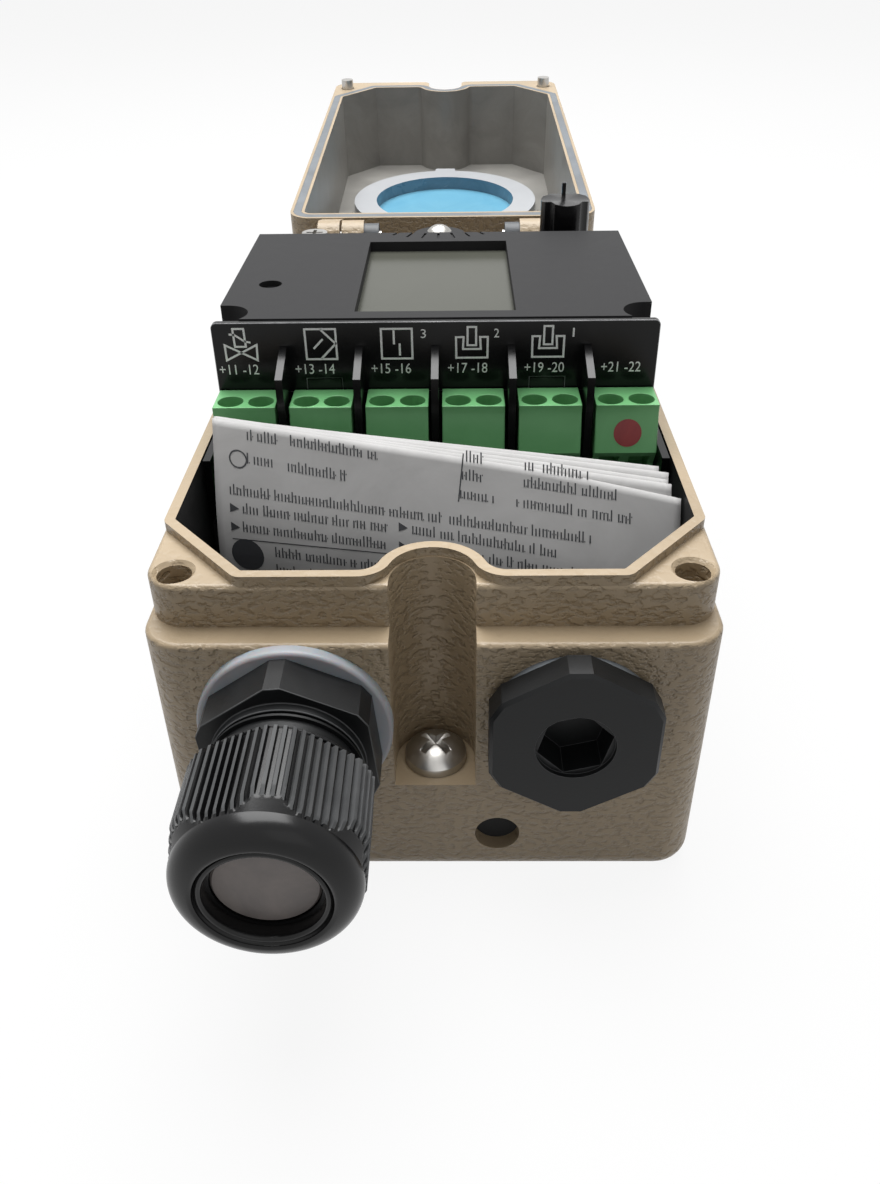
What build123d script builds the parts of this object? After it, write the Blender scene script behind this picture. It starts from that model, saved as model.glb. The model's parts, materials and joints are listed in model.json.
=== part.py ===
# Valve positioner with its cover open, in millimetres.
# Row frame: origin at the centre of the housing's back face, +Z towards the cover,
# -Y towards the cable entries. The housing lies on its back face.
from build123d import *
import os
from math import cos, radians

os.makedirs("parts", exist_ok=True)

# Housing
housing_length = 150.0
housing_width = 82.0
corner_radius = 6.0
base_fillet = 3.5
edge_fillet = 0.8
ledge_height = 46.3
band_height = 53.2
lip_rise = 1.5
lip_width = 1.8
lip_inset = 0.2
front_step = 4.4
side_step = 0.6
floor_height = 15.0
seal_chamfer_x = 13.1
seal_chamfer_y = 15.1
seal_corner = 2.2

# Front channel with the fixing screw
channel_radius = 6.1
channel_reach = 11.8
channel_floor = 19.5
band_flare = 5.0
cover_flare = 2.5
fixing_screw_radius = 2.5
fixing_screw_inset = 6.2
fixing_screw_end = 1.5
fixing_head_radius = 4.75
fixing_head_height = 3.6

# Cable entries and vent in the front face
entry_spacing = 40.0
entry_height = 32.3
entry_radius = 10.0
vent_radius = 3.5
vent_depth = 14.0
vent_x = 9.6
vent_height = 8.8

# Front corner pads and the captive cover screws
pad_screw_inset_x = 4.6
pad_screw_inset_y = 8.3
pad_hole_radius = 2.5
pad_hole_depth = 12.0
countersink_rim = 0.6
cover_screw_radius = 2.1
cover_screw_tip = 3.0
cover_head_radius = 3.9
cover_head_height = 3.6
cover_screw_sink = 6.0
well_gap = 1.2

# Cover, hinged at the rear
rim_gap = 0.3
cover_depth = 31.0
cover_roof = 3.0
cover_top_fillet = 4.0
cover_wall = 0.8
open_angle = 175.9
gasket_inset = 0.2
gasket_width = 2.2
gasket_depth = 2.2
gasket_play = 0.05

# Round window in the cover
window_y = -4.0
window_radius = 22.5
window_lip = 2.0
window_seal_thickness = 0.8
glass_radius = 26.0
glass_thickness = 3.6
glass_play = 0.1
ring_radius = 30.4
ring_flange = 2.5
ring_sleeve = 1.6
ring_bore_step = 0.5
ring_tab_width = 7.0
ring_tab_depth = 5.0
boss_radius = 31.4

# Hinge
hinge_gap = 9.0
hinge_rise = 2.0
barrel_radius = 4.2
hinge_pin_radius = 1.6
pin_fit = 0.03
cover_pin_fit = 0.05
lug_x = 22.8
lug_width = 5.6
lug_play = 0.6
arm_low = 40.0
arm_drop = 1.7
arm_root = 0.7
cover_arm_rise = 0.5
cover_arm_reach = 10.5
collar_radius = 3.4
collar_width = 3.8
pin_end = 0.6

# Cable gland
gland_flats = 24.0
gland_corner_flats = 26.4
gland_turn = 5.0
washer_radius = 14.15
washer_thickness = 1.8
hole_play = 0.2
gland_hex_length = 6.4
gland_shoulder = 1.4
gland_shoulder_inset = 1.2
neck_radius = 9.3
nut_gap = 0.6
nut_flats = 24.4
nut_corner_radius = 13.2
nut_turn = -5.0
nut_length = 21.8
nut_ribs = 66
groove_width = 0.6
groove_depth = 0.55
nut_chamfer = 1.2
nut_straight = 9.0
nut_shoulder = 14.0
nut_shoulder_radius = 12.0
dome_middle_radius = 11.4
dome_middle = 18.8
nut_opening = 8.75
nut_mouth_lip = 0.5
mouth_depth = 2.6
mouth_taper = 20.0
nut_play = 0.25
cable_bore = 6.7
disc_thickness = 1.2
disc_play = 0.1
thread_length = 10.0
thread_play = 0.05

# Blanking plug
plug_flats = 24.3
plug_corner_flats = 26.2
plug_head = 4.6
plug_chamfer = 0.5
plug_seal_thickness = 1.0
plug_recess_radius = 5.7
plug_recess_depth = 0.8
plug_socket_flats = 9.6
plug_socket_depth = 6.0
plug_socket_turn = 15.0

# Travel feedback shaft
shaft_inset_y = 35.0
shaft_radius = 4.0
shaft_end_radius = 3.0
shaft_end = 1.0
shaft_shoulder = 7.0
shaft_play = 0.05
lever_recess_depth = 10.0
lever_recess_half_x = 22.0
lever_recess_half_y = 23.0
lever_recess_corner = 6.0
bush_wall = 2.0
bush_flange = 2.0
bush_flange_thickness = 1.4
boss_wall = 3.0
boss_height = 11.0
snap_ring_width = 1.6
snap_ring_thickness = 0.8
snap_ring_gap = 0.3
sensor_size_x = 30.0
sensor_size_y = 26.0
sensor_height = 12.0
sensor_play = 0.4
pointer_gap = 0.5
pointer_rise = 6.0
pointer_hub = 1.5
pointer_length = 12.4
pointer_width = 3.2
pointer_tip = 0.8
pointer_thickness = 1.4
dome_radius = 2.6
dome_height = 1.9
dome_edge = 0.6

# Back face
port_x = 14.0
port_setback = 14.8
port_radius = 3.0
oring_radius = 5.4
oring_section = 1.5
oring_play = 0.05
bracket_x = 60.0
bracket_y = 124.0
bracket_hole_radius = 2.5
bracket_hole_depth = 11.0

# Pneumatics
block_size_x = 52.0
block_size_y = 40.0
block_rise = 14.0
block_corner = 3.0
block_height = 13.5
block_gasket_thickness = 1.5
block_screw_inset = 3.5
passage_depth = 7.5
converter_x = -12.5
converter_radius = 10.0
converter_height = 11.0
booster_x = 12.0
booster_radius = 11.0
booster_step = 3.0
booster_height = 5.0
unit_offset_y = -1.0

# Small screws
screw_radius = 1.6
screw_play = 0.3
screw_grip = 0.1
screw_head_radius = 3.0
screw_head_height = 2.4
screw_length = 9.0
screw_end_gap = 2.0
slot_width = 0.8
slot_depth = 1.0

# Electronics module
module_gap = 0.5
module_wall = 1.8
module_corner = 4.0
wiring_length = 38.2
module_rear_gap = 6.0
terminal_deck = 43.0
module_deck = 55.0
rear_deck = 62.0
post_radius = 3.5
post_inset_x = 8.1
post_inset_y = 7.0
foot_inset_x = 8.1
foot_width = 9.0
foot_depth = 7.8
foot_thickness = 2.0
foot_overlap = 1.0
collar_rise = 1.2
collar_wall = 1.6
shaft_opening = 1.0

# Electronics cover
plate_inset = 1.6
plate_setback = 13.9
plate_to_shaft = 13.3
plate_height = 73.8
plate_wall = 2.0
plate_roof = 1.9
plate_gap = 0.3
notch_radius = 3.9
notch_inset_x = 1.4
notch_inset_y = 2.7
notch_floor = 57.0
cap_screw_inset = 1.6
cap_screw_radius = 1.4
cap_head_radius = 2.2
cap_head_height = 1.9
cap_boss_radius = 2.9
cap_boss_length = 9.5
tick_count = 7
tick_step = 10.5
tick_gap = 0.9
tick_length = 3.4
tick_width = 0.5
tick_depth = 0.3

# Display and key
lcd_half = 13.45
lcd_inset_front = 3.1
lcd_inset_rear = 6.4
lcd_border_x = 1.2
lcd_border_y = 0.5
lcd_glass_thickness = 1.4
lcd_frame_wall = 1.5
board_thickness = 1.6
board_rise = 5.0
board_gap = 0.6
rest_radius = 2.2
rest_x = 56.0
rest_y = 26.0
rest_offset_y = 2.0
key_inset_x = 6.9
key_inset_y = 17.7
key_hole = 2.05
key_play = 0.3
key_travel = 0.8
key_flange = 1.0
key_flange_thickness = 1.2
key_sink = 0.9
switch_size = 6.0
switch_height = 3.4
press_margin = 0.15

# Rotary pushbutton
knob_inset_x = 11.5
knob_offset_y = -2.5
knob_radius = 5.1
knob_top = 78.2
knob_travel = 0.8
flute_radius = 2.8
flute_depth = 0.5
knob_dish_radius = 12.0
knob_dish_depth = 1.0
nib_size = 0.8
nib_height = 1.5
spindle_radius = 3.0
spindle_play = 0.1
spindle_opening = 0.4
spindle_cover = 4.6
spindle_low_gap = 1.0
encoder_size = 12.0
encoder_height = 7.0

# Terminals
terminal_count = 6
terminal_margin = 1.55
terminal_spacing = 2.26
pole_inset = 2.61
terminal_top = 62.1
terminal_depth = 7.2
terminal_nose = 1.7
nose_top = 60.6
nose_height = 54.3
nose_bottom = 51.5
well_radius = 2.1
well_setback = 2.5
well_floor = 56.0
terminal_screw_radius = 1.9
terminal_screw_head = 1.6
terminal_slot_width = 0.5
wire_entry = 3.4
wire_entry_height = 51.6
wire_entry_depth = 6.0
terminal_gap = 0.3
carrier_base = 2.0
carrier_wall_top = 61.5
tab_x = 18.7
tab_width = 5.6
tab_rise = 2.3
tab_play = 0.1
fin_thickness = 1.2
fin_proud = 0.4
fin_corner = 67.0
fin_top = 69.6
cheek_play = 0.1

# Terminal label
label_thickness = 1.2
label_overhang = 0.3
label_top = 73.6
label_corner = 1.0
label_gap = 0.2

# Folded leaflet in the wiring space
leaf_left_inset = 2.3
leaf_right_inset = 1.3
leaf_setback = 1.5
leaf_top = 62.0
leaf_upper = 21.2
leaf_lower = 20.3
leaf_lean = 25.0
leaf_bend = 25.0
leaf_bend_radius = 40.0
leaf_thickness = 1.6
leaf_swing = 11.1
leaf_drop = 7.5

# Places worked out from the sizes above
front = -housing_length / 2
rear = housing_length / 2
band_front = front + front_step
band_rear = rear - side_step
band_half = housing_width / 2 - side_step
band_corner = corner_radius - side_step
lip_top = band_height + lip_rise
channel_y = front + channel_reach - channel_radius
pad_x = housing_width / 2 - pad_screw_inset_x
pad_y = front + pad_screw_inset_y
pad_places = [(-pad_x, pad_y), (pad_x, pad_y)]
rim_height = lip_top + rim_gap
cover_top = rim_height + cover_depth
hinge_y = rear + hinge_gap
hinge_height = rim_height + hinge_rise
hinge_place = [(hinge_y, hinge_height)]
cover_lug_x = lug_x + lug_width + lug_play
module_half = band_half - lip_width - module_gap
module_front = front + wiring_length
module_rear = rear - module_rear_gap
shaft_y = rear - shaft_inset_y
knob_x = module_half - knob_inset_x
knob_y = shaft_y + knob_offset_y
plate_half = module_half - plate_inset
plate_front = module_front + plate_setback
plate_rear = shaft_y - plate_to_shaft
lcd_front = plate_front + lcd_inset_front
lcd_rear = plate_rear - lcd_inset_rear
label_rear = plate_front - label_gap
label_front = label_rear - label_thickness
label_half = plate_half + label_overhang
port_y = module_front + port_setback
block_y = port_y + block_rise
axis_place = [(0, 0)]
up = (Align.CENTER, Align.CENTER, Align.MIN)
down = (Align.CENTER, Align.CENTER, Align.MAX)


def finish(part, name):
    """Label a finished piece and write it to its own file."""
    part.label = name
    export_step(part, f"parts/{name}.step")


def front_plane(x, z):
    """Plane on the front face, looking out of it; its own axes are the row's X and Z."""
    return Plane(origin=(x, front, z), x_dir=(1, 0, 0), z_dir=(0, -1, 0))


def side_plane(x, base=Plane.XY):
    """Plane across the row's X; its own axes are the base's Y and Z."""
    return Plane(origin=base.from_local_coords((x, 0, 0)), x_dir=base.y_dir, z_dir=base.x_dir)


def upright_plane(x, y, z):
    """Upright plane through a vertical axis, for a profile turned about that axis."""
    return Plane(origin=(x, y, z), x_dir=(1, 0, 0), z_dir=(0, -1, 0))


def box_area(plane, half_x, low_y, high_y, radius=0.0):
    """Rectangle between two Y values, with rounded corners where asked."""
    with BuildSketch(plane) as area:
        with Locations((0, (low_y + high_y) / 2)):
            Rectangle(2 * half_x, high_y - low_y)
        if radius:
            fillet(area.vertices(), radius)
    return area.sketch


def discs(plane, radius, places, hole=0.0):
    """Equal round areas, each with a hole where asked."""
    with BuildSketch(plane) as area:
        with Locations(*places):
            Circle(radius)
            if hole:
                Circle(hole, mode=Mode.SUBTRACT)
    return area.sketch


def grid_places(center_y, spacing_x, spacing_y):
    """Four places at the corners of a rectangle."""
    return [
        (sx * spacing_x / 2, center_y + sy * spacing_y / 2) for sx in (-1, 1) for sy in (-1, 1)
    ]


def channel_area(plane, flare=0.0):
    """Half-round channel with its mouth in the front face, flared where asked."""
    with BuildSketch(plane) as area:
        with Locations((0, channel_y)):
            Circle(channel_radius)
        with Locations((0, (channel_y + front) / 2)):
            Rectangle(2 * channel_radius, channel_y - front)
        with Locations((0, front)):
            Rectangle(4 * channel_radius, 2, align=(Align.CENTER, Align.MAX))
        if flare:
            mouth = [v for v in area.vertices() if abs(abs(v.X) - channel_radius) < 0.01]
            fillet([v for v in mouth if abs(v.Y - front) < 0.01], flare)
    return area.sketch


def seal_area(plane, inset=0.0):
    """Area inside the sealing line: it cuts the front corners and arches round the channel."""
    with BuildSketch(plane) as area:
        with BuildLine():
            Polyline(
                (band_half, band_rear),
                (-band_half, band_rear),
                (-band_half, band_front + seal_chamfer_y),
                (-band_half + seal_chamfer_x, band_front),
                (band_half - seal_chamfer_x, band_front),
                (band_half, band_front + seal_chamfer_y),
                close=True,
            )
        make_face()
        fillet(area.vertices().group_by(Axis.Y)[-1], band_corner)
        fillet([v for v in area.vertices() if v.Y < band_front + seal_chamfer_y + 1], seal_corner)
        with Locations((0, channel_y)):
            Circle(channel_radius, mode=Mode.SUBTRACT)
        fillet([v for v in area.vertices() if abs(v.X) < channel_radius], band_flare)
        if inset:
            offset(amount=-inset, kind=Kind.INTERSECTION, mode=Mode.REPLACE)
    return area.sketch


def hinge_arm(plane, foot_low, foot_high):
    """Side view of a hinge lug: hull of its round barrel and its foot on the rear wall."""
    with BuildSketch(plane) as area:
        with Locations((hinge_y, hinge_height)):
            Circle(barrel_radius)
        with Locations((rear - arm_root / 2, (foot_low + foot_high) / 2)):
            Rectangle(arm_root, foot_high - foot_low)
        make_hull()
    return area.sketch


def screw_group(name, places, head_radius, head_height, shank_radius, length, base=Plane.XY):
    """Equal cross-slotted screws; a place is the middle of the seat under the head."""
    with BuildPart(base) as screws:
        with Locations(*places):
            Cylinder(head_radius, head_height, align=up)
            Cylinder(shank_radius, length, align=down)
        with Locations(*[(x, y, z + head_height) for x, y, z in places]):
            Box(1.3 * head_radius, slot_width, 2 * slot_depth, mode=Mode.SUBTRACT)
            Box(slot_width, 1.3 * head_radius, 2 * slot_depth, mode=Mode.SUBTRACT)
    finish(screws.part, name)


# The cover's own frame is its closed place, swung open about the hinge line
hinge_line = Location((0, hinge_y, hinge_height))
shut = Plane(hinge_line * Location((0, 0, 0), (-open_angle, 0, 0)) * hinge_line.inverse())


# Housing: stepped tub with sealing lip, corner pads, channel, hinge lugs and its back's recess
shaft_place = [(0, shaft_y)]
port_places = [(-port_x, port_y), (port_x, port_y)]
post_x = module_half - post_inset_x
post_y = module_rear - post_inset_y
post_places = [(-post_x, post_y), (post_x, post_y)]
foot_x = module_half - foot_inset_x
foot_places = [(-foot_x, module_front - foot_depth / 2), (foot_x, module_front - foot_depth / 2)]
block_screw_places = grid_places(
    block_y, block_size_x - 2 * block_screw_inset, block_size_y - 2 * block_screw_inset
)
entry_places = [(-entry_spacing / 2, entry_height), (entry_spacing / 2, entry_height)]
screw_y = front + fixing_screw_inset
post_top = rear_deck - module_wall
boss_top = floor_height + boss_height
bush_radius = shaft_radius + bush_wall
tapped = screw_radius + screw_grip
floor_plane = Plane.XY.offset(floor_height)

# The upper band is rounded by itself, then stands on the ledge
with BuildPart() as upper_band:
    band_plane = Plane.XY.offset(ledge_height)
    extrude(
        box_area(band_plane, band_half, band_front, band_rear, band_corner),
        amount=band_height - ledge_height,
    )
    fillet(upper_band.edges().group_by(Axis.Z)[-1], edge_fillet)

with BuildPart() as housing:
    extrude(box_area(Plane.XY, housing_width / 2, front, rear, corner_radius), amount=ledge_height)
    fillet(housing.edges().group_by(Axis.Z)[0], base_fillet)
    fillet(housing.edges().group_by(Axis.Z)[-1], edge_fillet)
    add(upper_band.part)
    extrude(
        channel_area(Plane.XY.offset(channel_floor)),
        amount=lip_top - channel_floor,
        mode=Mode.SUBTRACT,
    )
    extrude(channel_area(band_plane, band_flare), amount=band_height, mode=Mode.SUBTRACT)
    extrude(seal_area(Plane.XY.offset(lip_top), lip_inset), amount=-2 * lip_rise)
    extrude(seal_area(floor_plane, lip_width), amount=lip_top - floor_height, mode=Mode.SUBTRACT)
    # Hinge lugs on the rear wall
    for side in (-1, 1):
        arm = hinge_arm(side_plane(side * lug_x), arm_low, band_height - arm_drop)
        extrude(arm, amount=lug_width / 2, both=True)
    # Posts for the module's rear screws, boss round the feedback shaft
    extrude(discs(floor_plane, post_radius, post_places), amount=post_top - floor_height)
    extrude(discs(floor_plane, bush_radius + boss_wall, shaft_place), amount=boss_height)
    # Tapped holes inside
    extrude(discs(Plane.XY.offset(post_top), tapped, post_places), amount=-screw_length, mode=Mode.SUBTRACT)
    extrude(
        discs(floor_plane, tapped, foot_places + block_screw_places),
        amount=-screw_length,
        mode=Mode.SUBTRACT,
    )
    # Cover screw holes in the pads, fixing screw hole in the channel
    with Locations(*[(x, y, band_height) for x, y in pad_places]):
        CounterSinkHole(pad_hole_radius, pad_hole_radius + countersink_rim, pad_hole_depth, 90)
    extrude(
        discs(Plane.XY, fixing_screw_radius + screw_grip, [(0, screw_y)]),
        amount=channel_floor,
        mode=Mode.SUBTRACT,
    )
    # Cable entries and vent
    extrude(discs(front_plane(0, 0), entry_radius, entry_places), amount=-thread_length, mode=Mode.SUBTRACT)
    extrude(
        discs(front_plane(0, 0), vent_radius, [(vent_x, vent_height)]),
        amount=-vent_depth,
        mode=Mode.SUBTRACT,
    )
    # Back face: lever recess, shaft bore, air ports with seats for their O-rings, bracket holes
    with BuildSketch(Plane.XY):
        with Locations((0, shaft_y)):
            RectangleRounded(2 * lever_recess_half_x, 2 * lever_recess_half_y, lever_recess_corner)
    extrude(amount=lever_recess_depth, mode=Mode.SUBTRACT)
    extrude(discs(Plane.XY, bush_radius, shaft_place), amount=boss_top, mode=Mode.SUBTRACT)
    extrude(discs(Plane.XY, port_radius, port_places), amount=floor_height, mode=Mode.SUBTRACT)
    extrude(
        discs(Plane.XY, oring_radius + oring_section / 2, port_places, oring_radius - oring_section / 2),
        amount=oring_section + 2 * oring_play,
        mode=Mode.SUBTRACT,
    )
    extrude(
        discs(Plane.XY, bracket_hole_radius, grid_places(0, bracket_x, bracket_y)),
        amount=bracket_hole_depth,
        mode=Mode.SUBTRACT,
    )
    # Hinge pin bores
    extrude(
        discs(side_plane(0), hinge_pin_radius + pin_fit, hinge_place),
        amount=lug_x + lug_width,
        both=True,
        mode=Mode.SUBTRACT,
    )
finish(housing.part, "housing")


# Cover: deep shell with gasket groove, window seat, screw wells and hinge lugs
cavity_inset = gasket_inset + gasket_width + cover_wall
cover_rim = shut.offset(rim_height)
seal_low = cover_top - window_lip - window_seal_thickness
glass_low = seal_low - glass_thickness
ring_seat = glass_low - ring_sleeve
screw_seat = cover_top - cover_screw_sink
window_place = [(0, window_y)]

with BuildPart() as cover:
    extrude(box_area(cover_rim, housing_width / 2, front, rear, corner_radius), amount=cover_depth)
    top_face = cover.faces().sort_by(Axis(shut.origin, shut.z_dir))[-1]
    fillet(top_face.edges(), cover_top_fillet)
    extrude(channel_area(cover_rim, cover_flare), amount=cover_depth, mode=Mode.SUBTRACT)
    extrude(seal_area(cover_rim, cavity_inset), amount=cover_depth - cover_roof, mode=Mode.SUBTRACT)
    extrude(
        seal_area(cover_rim, gasket_inset) - seal_area(cover_rim, gasket_inset + gasket_width),
        amount=gasket_depth,
        mode=Mode.SUBTRACT,
    )
    # Window: boss inside the roof, seat for seal and glass, opening through the roof
    extrude(
        discs(shut.offset(ring_seat), boss_radius, window_place),
        amount=cover_top - cover_roof - ring_seat,
    )
    extrude(
        discs(shut.offset(ring_seat), glass_radius + glass_play, window_place),
        amount=cover_top - window_lip - ring_seat,
        mode=Mode.SUBTRACT,
    )
    extrude(
        discs(shut.offset(ring_seat), window_radius, window_place),
        amount=cover_depth,
        mode=Mode.SUBTRACT,
    )
    # Screw wells in the front corners
    extrude(
        discs(shut.offset(screw_seat), cover_head_radius + well_gap, pad_places),
        amount=cover_screw_sink,
        mode=Mode.SUBTRACT,
    )
    extrude(
        discs(cover_rim, cover_screw_radius + screw_play, pad_places),
        amount=cover_depth,
        mode=Mode.SUBTRACT,
    )
    # Hinge lugs on the rear wall
    for side in (-1, 1):
        arm = hinge_arm(
            side_plane(side * cover_lug_x, shut),
            rim_height + cover_arm_rise,
            rim_height + cover_arm_rise + cover_arm_reach,
        )
        extrude(arm, amount=lug_width / 2, both=True)
    extrude(
        discs(side_plane(0, shut), hinge_pin_radius + cover_pin_fit, hinge_place),
        amount=cover_lug_x + lug_width,
        both=True,
        mode=Mode.SUBTRACT,
    )
finish(cover.part, "cover")

with BuildPart() as cover_gasket:
    extrude(
        seal_area(cover_rim, gasket_inset + gasket_play)
        - seal_area(cover_rim, gasket_inset + gasket_width - gasket_play),
        amount=gasket_depth,
    )
finish(cover_gasket.part, "cover_gasket")

# Window pieces, stacked from the roof inwards
with BuildPart() as window_seal:
    extrude(
        discs(shut.offset(seal_low), glass_radius, window_place, window_radius + glass_play),
        amount=window_seal_thickness,
    )
finish(window_seal.part, "window_seal")

with BuildPart() as window_glass:
    extrude(discs(shut.offset(glass_low), glass_radius, window_place), amount=glass_thickness)
finish(window_glass.part, "window_glass")

with BuildPart() as window_ring:
    with BuildSketch(shut.offset(ring_seat)):
        with Locations((0, window_y)):
            Circle(ring_radius)
        with Locations((0, window_y - ring_radius)):
            RectangleRounded(ring_tab_width, ring_tab_depth, edge_fillet)
    extrude(amount=-ring_flange)
    extrude(discs(shut.offset(ring_seat), glass_radius, window_place), amount=ring_sleeve)
    extrude(
        discs(shut.offset(glass_low), window_radius + ring_bore_step, window_place),
        amount=-ring_sleeve - ring_flange,
        mode=Mode.SUBTRACT,
    )
finish(window_ring.part, "window_ring")

for name, side in (("cover_screw_left", -1), ("cover_screw_right", 1)):
    screw_group(
        name,
        [(side * pad_x, pad_y, screw_seat)],
        cover_head_radius,
        cover_head_height,
        cover_screw_radius,
        screw_seat - rim_height + cover_screw_tip,
        base=shut,
    )


# Hinge pins, and the dark collars at their inner ends
collar_x = lug_x - lug_width / 2 - collar_width / 2
pin_start = collar_x - collar_width / 2 - pin_end
pin_length = cover_lug_x + lug_width / 2 - pin_end - pin_start
with BuildPart() as hinge_pins:
    for side in (-1, 1):
        extrude(
            discs(side_plane(side * pin_start), hinge_pin_radius, hinge_place),
            amount=side * pin_length,
        )
finish(hinge_pins.part, "hinge_pins")

with BuildPart() as hinge_collars:
    for side in (-1, 1):
        extrude(
            discs(side_plane(side * collar_x), collar_radius, hinge_place, hinge_pin_radius + pin_fit),
            amount=collar_width / 2,
            both=True,
        )
finish(hinge_collars.part, "hinge_collars")


# Cable gland, from its washer outwards
gland_plane = front_plane(*entry_places[0])
hex_start = washer_thickness
shoulder_start = hex_start + gland_hex_length
nut_start = shoulder_start + gland_shoulder + nut_gap
nut_end = nut_start + nut_length
disc_start = nut_end - mouth_depth - disc_thickness
neck_end = nut_start + nut_length / 2
hollow_end = disc_start - disc_thickness
thread_radius = entry_radius - thread_play

with BuildPart() as gland_washer:
    extrude(discs(gland_plane, washer_radius, axis_place, entry_radius + hole_play), amount=washer_thickness)
    rim = gland_washer.faces().sort_by(Axis.Y)[0].edges().sort_by(SortBy.RADIUS)[-1]
    fillet(rim, washer_thickness / 3)
finish(gland_washer.part, "gland_washer")

with BuildPart() as gland_body:
    with BuildSketch(gland_plane.offset(hex_start)):
        RegularPolygon(gland_flats / 2, 6, major_radius=False, rotation=30 + gland_turn)
        RegularPolygon(
            gland_corner_flats / 2, 6, major_radius=False, rotation=gland_turn, mode=Mode.INTERSECT
        )
    extrude(amount=gland_hex_length)
    extrude(
        discs(gland_plane.offset(shoulder_start), gland_flats / 2 - gland_shoulder_inset, axis_place),
        amount=gland_shoulder,
    )
    extrude(
        discs(gland_plane.offset(shoulder_start), neck_radius, axis_place),
        amount=neck_end - shoulder_start,
    )
    extrude(
        discs(gland_plane.offset(-thread_length), thread_radius, axis_place),
        amount=thread_length + hex_start,
    )
    extrude(
        discs(gland_plane.offset(-thread_length), cable_bore, axis_place),
        amount=thread_length + neck_end,
        mode=Mode.SUBTRACT,
    )
finish(gland_body.part, "gland_body")


def nut_surface(angle):
    """Distance from the axis to the nut's outline: its flats, cut by a circle at the corners."""
    from_flat = (angle + 30) % 60 - 30
    return min(nut_corner_radius, nut_flats / 2 / cos(radians(from_flat)))


with BuildPart() as gland_nut:
    # Hexagon with straight ribs all round
    with BuildSketch(gland_plane.offset(nut_start)):
        RegularPolygon(nut_flats / 2, 6, major_radius=False, rotation=30 + nut_turn)
        Circle(nut_corner_radius, mode=Mode.INTERSECT)
        for rib in range(nut_ribs):
            angle = (rib + 0.5) * 360 / nut_ribs
            with PolarLocations(nut_surface(angle), 1, start_angle=angle + nut_turn):
                Rectangle(2 * groove_depth, groove_width, mode=Mode.SUBTRACT)
    extrude(amount=nut_length)
    # Smooth dome that trims the ribs
    with BuildSketch(Plane(origin=gland_plane.origin, x_dir=(1, 0, 0), z_dir=(0, 0, 1))):
        with BuildLine():
            Polyline(
                (0, -nut_start),
                (nut_corner_radius - nut_chamfer, -nut_start),
                (nut_corner_radius, -nut_start - nut_chamfer),
                (nut_corner_radius, -nut_start - nut_straight),
                (nut_shoulder_radius, -nut_start - nut_shoulder),
            )
            ThreePointArc(
                (nut_shoulder_radius, -nut_start - nut_shoulder),
                (dome_middle_radius, -nut_start - dome_middle),
                (nut_opening, -nut_end),
            )
            Polyline((nut_opening, -nut_end), (0, -nut_end), (0, -nut_start))
        make_face()
    revolve(axis=Axis(gland_plane.origin, (0, 1, 0)), mode=Mode.INTERSECT)
    # Hollow for the body's neck, cable opening and its tapered mouth
    extrude(
        discs(gland_plane.offset(nut_start), neck_radius + nut_play, axis_place),
        amount=hollow_end - nut_start,
        mode=Mode.SUBTRACT,
    )
    extrude(
        discs(gland_plane.offset(nut_start), cable_bore + nut_play, axis_place),
        amount=nut_length,
        mode=Mode.SUBTRACT,
    )
    extrude(
        discs(gland_plane.offset(nut_end), nut_opening - nut_mouth_lip, axis_place),
        amount=-mouth_depth,
        taper=mouth_taper,
        mode=Mode.SUBTRACT,
    )
finish(gland_nut.part, "gland_nut")

with BuildPart() as gland_seal:
    extrude(
        discs(gland_plane.offset(neck_end), neck_radius, axis_place, cable_bore),
        amount=hollow_end - neck_end - disc_play,
    )
finish(gland_seal.part, "gland_seal")

with BuildPart() as gland_dust_disc:
    extrude(
        discs(gland_plane.offset(disc_start), cable_bore + nut_play - disc_play, axis_place),
        amount=disc_thickness,
    )
    chamfer(gland_dust_disc.faces().sort_by(Axis.Y)[0].edges(), disc_thickness / 4)
finish(gland_dust_disc.part, "gland_dust_disc")


# Blanking plug in the right-hand entry
plug_plane = front_plane(*entry_places[1])
plug_face = plug_plane.offset(plug_seal_thickness + plug_head)
with BuildPart() as plug_seal:
    extrude(
        discs(plug_plane, plug_flats / 2, axis_place, entry_radius + hole_play),
        amount=plug_seal_thickness,
    )
finish(plug_seal.part, "plug_seal")

with BuildPart() as blanking_plug:
    with BuildSketch(plug_face):
        RegularPolygon(plug_flats / 2, 6, major_radius=False, rotation=30)
        RegularPolygon(plug_corner_flats / 2, 6, major_radius=False, mode=Mode.INTERSECT)
    extrude(amount=-plug_head)
    chamfer(blanking_plug.faces().sort_by(Axis.Y)[0].edges(), plug_chamfer)
    extrude(
        discs(plug_plane.offset(-thread_length), thread_radius, axis_place),
        amount=thread_length + plug_seal_thickness,
    )
    extrude(discs(plug_face, plug_recess_radius, axis_place), amount=-plug_recess_depth, mode=Mode.SUBTRACT)
    with BuildSketch(plug_face):
        RegularPolygon(plug_socket_flats / 2, 6, major_radius=False, rotation=plug_socket_turn)
    extrude(amount=-plug_socket_depth, mode=Mode.SUBTRACT)
finish(blanking_plug.part, "blanking_plug")


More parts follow.
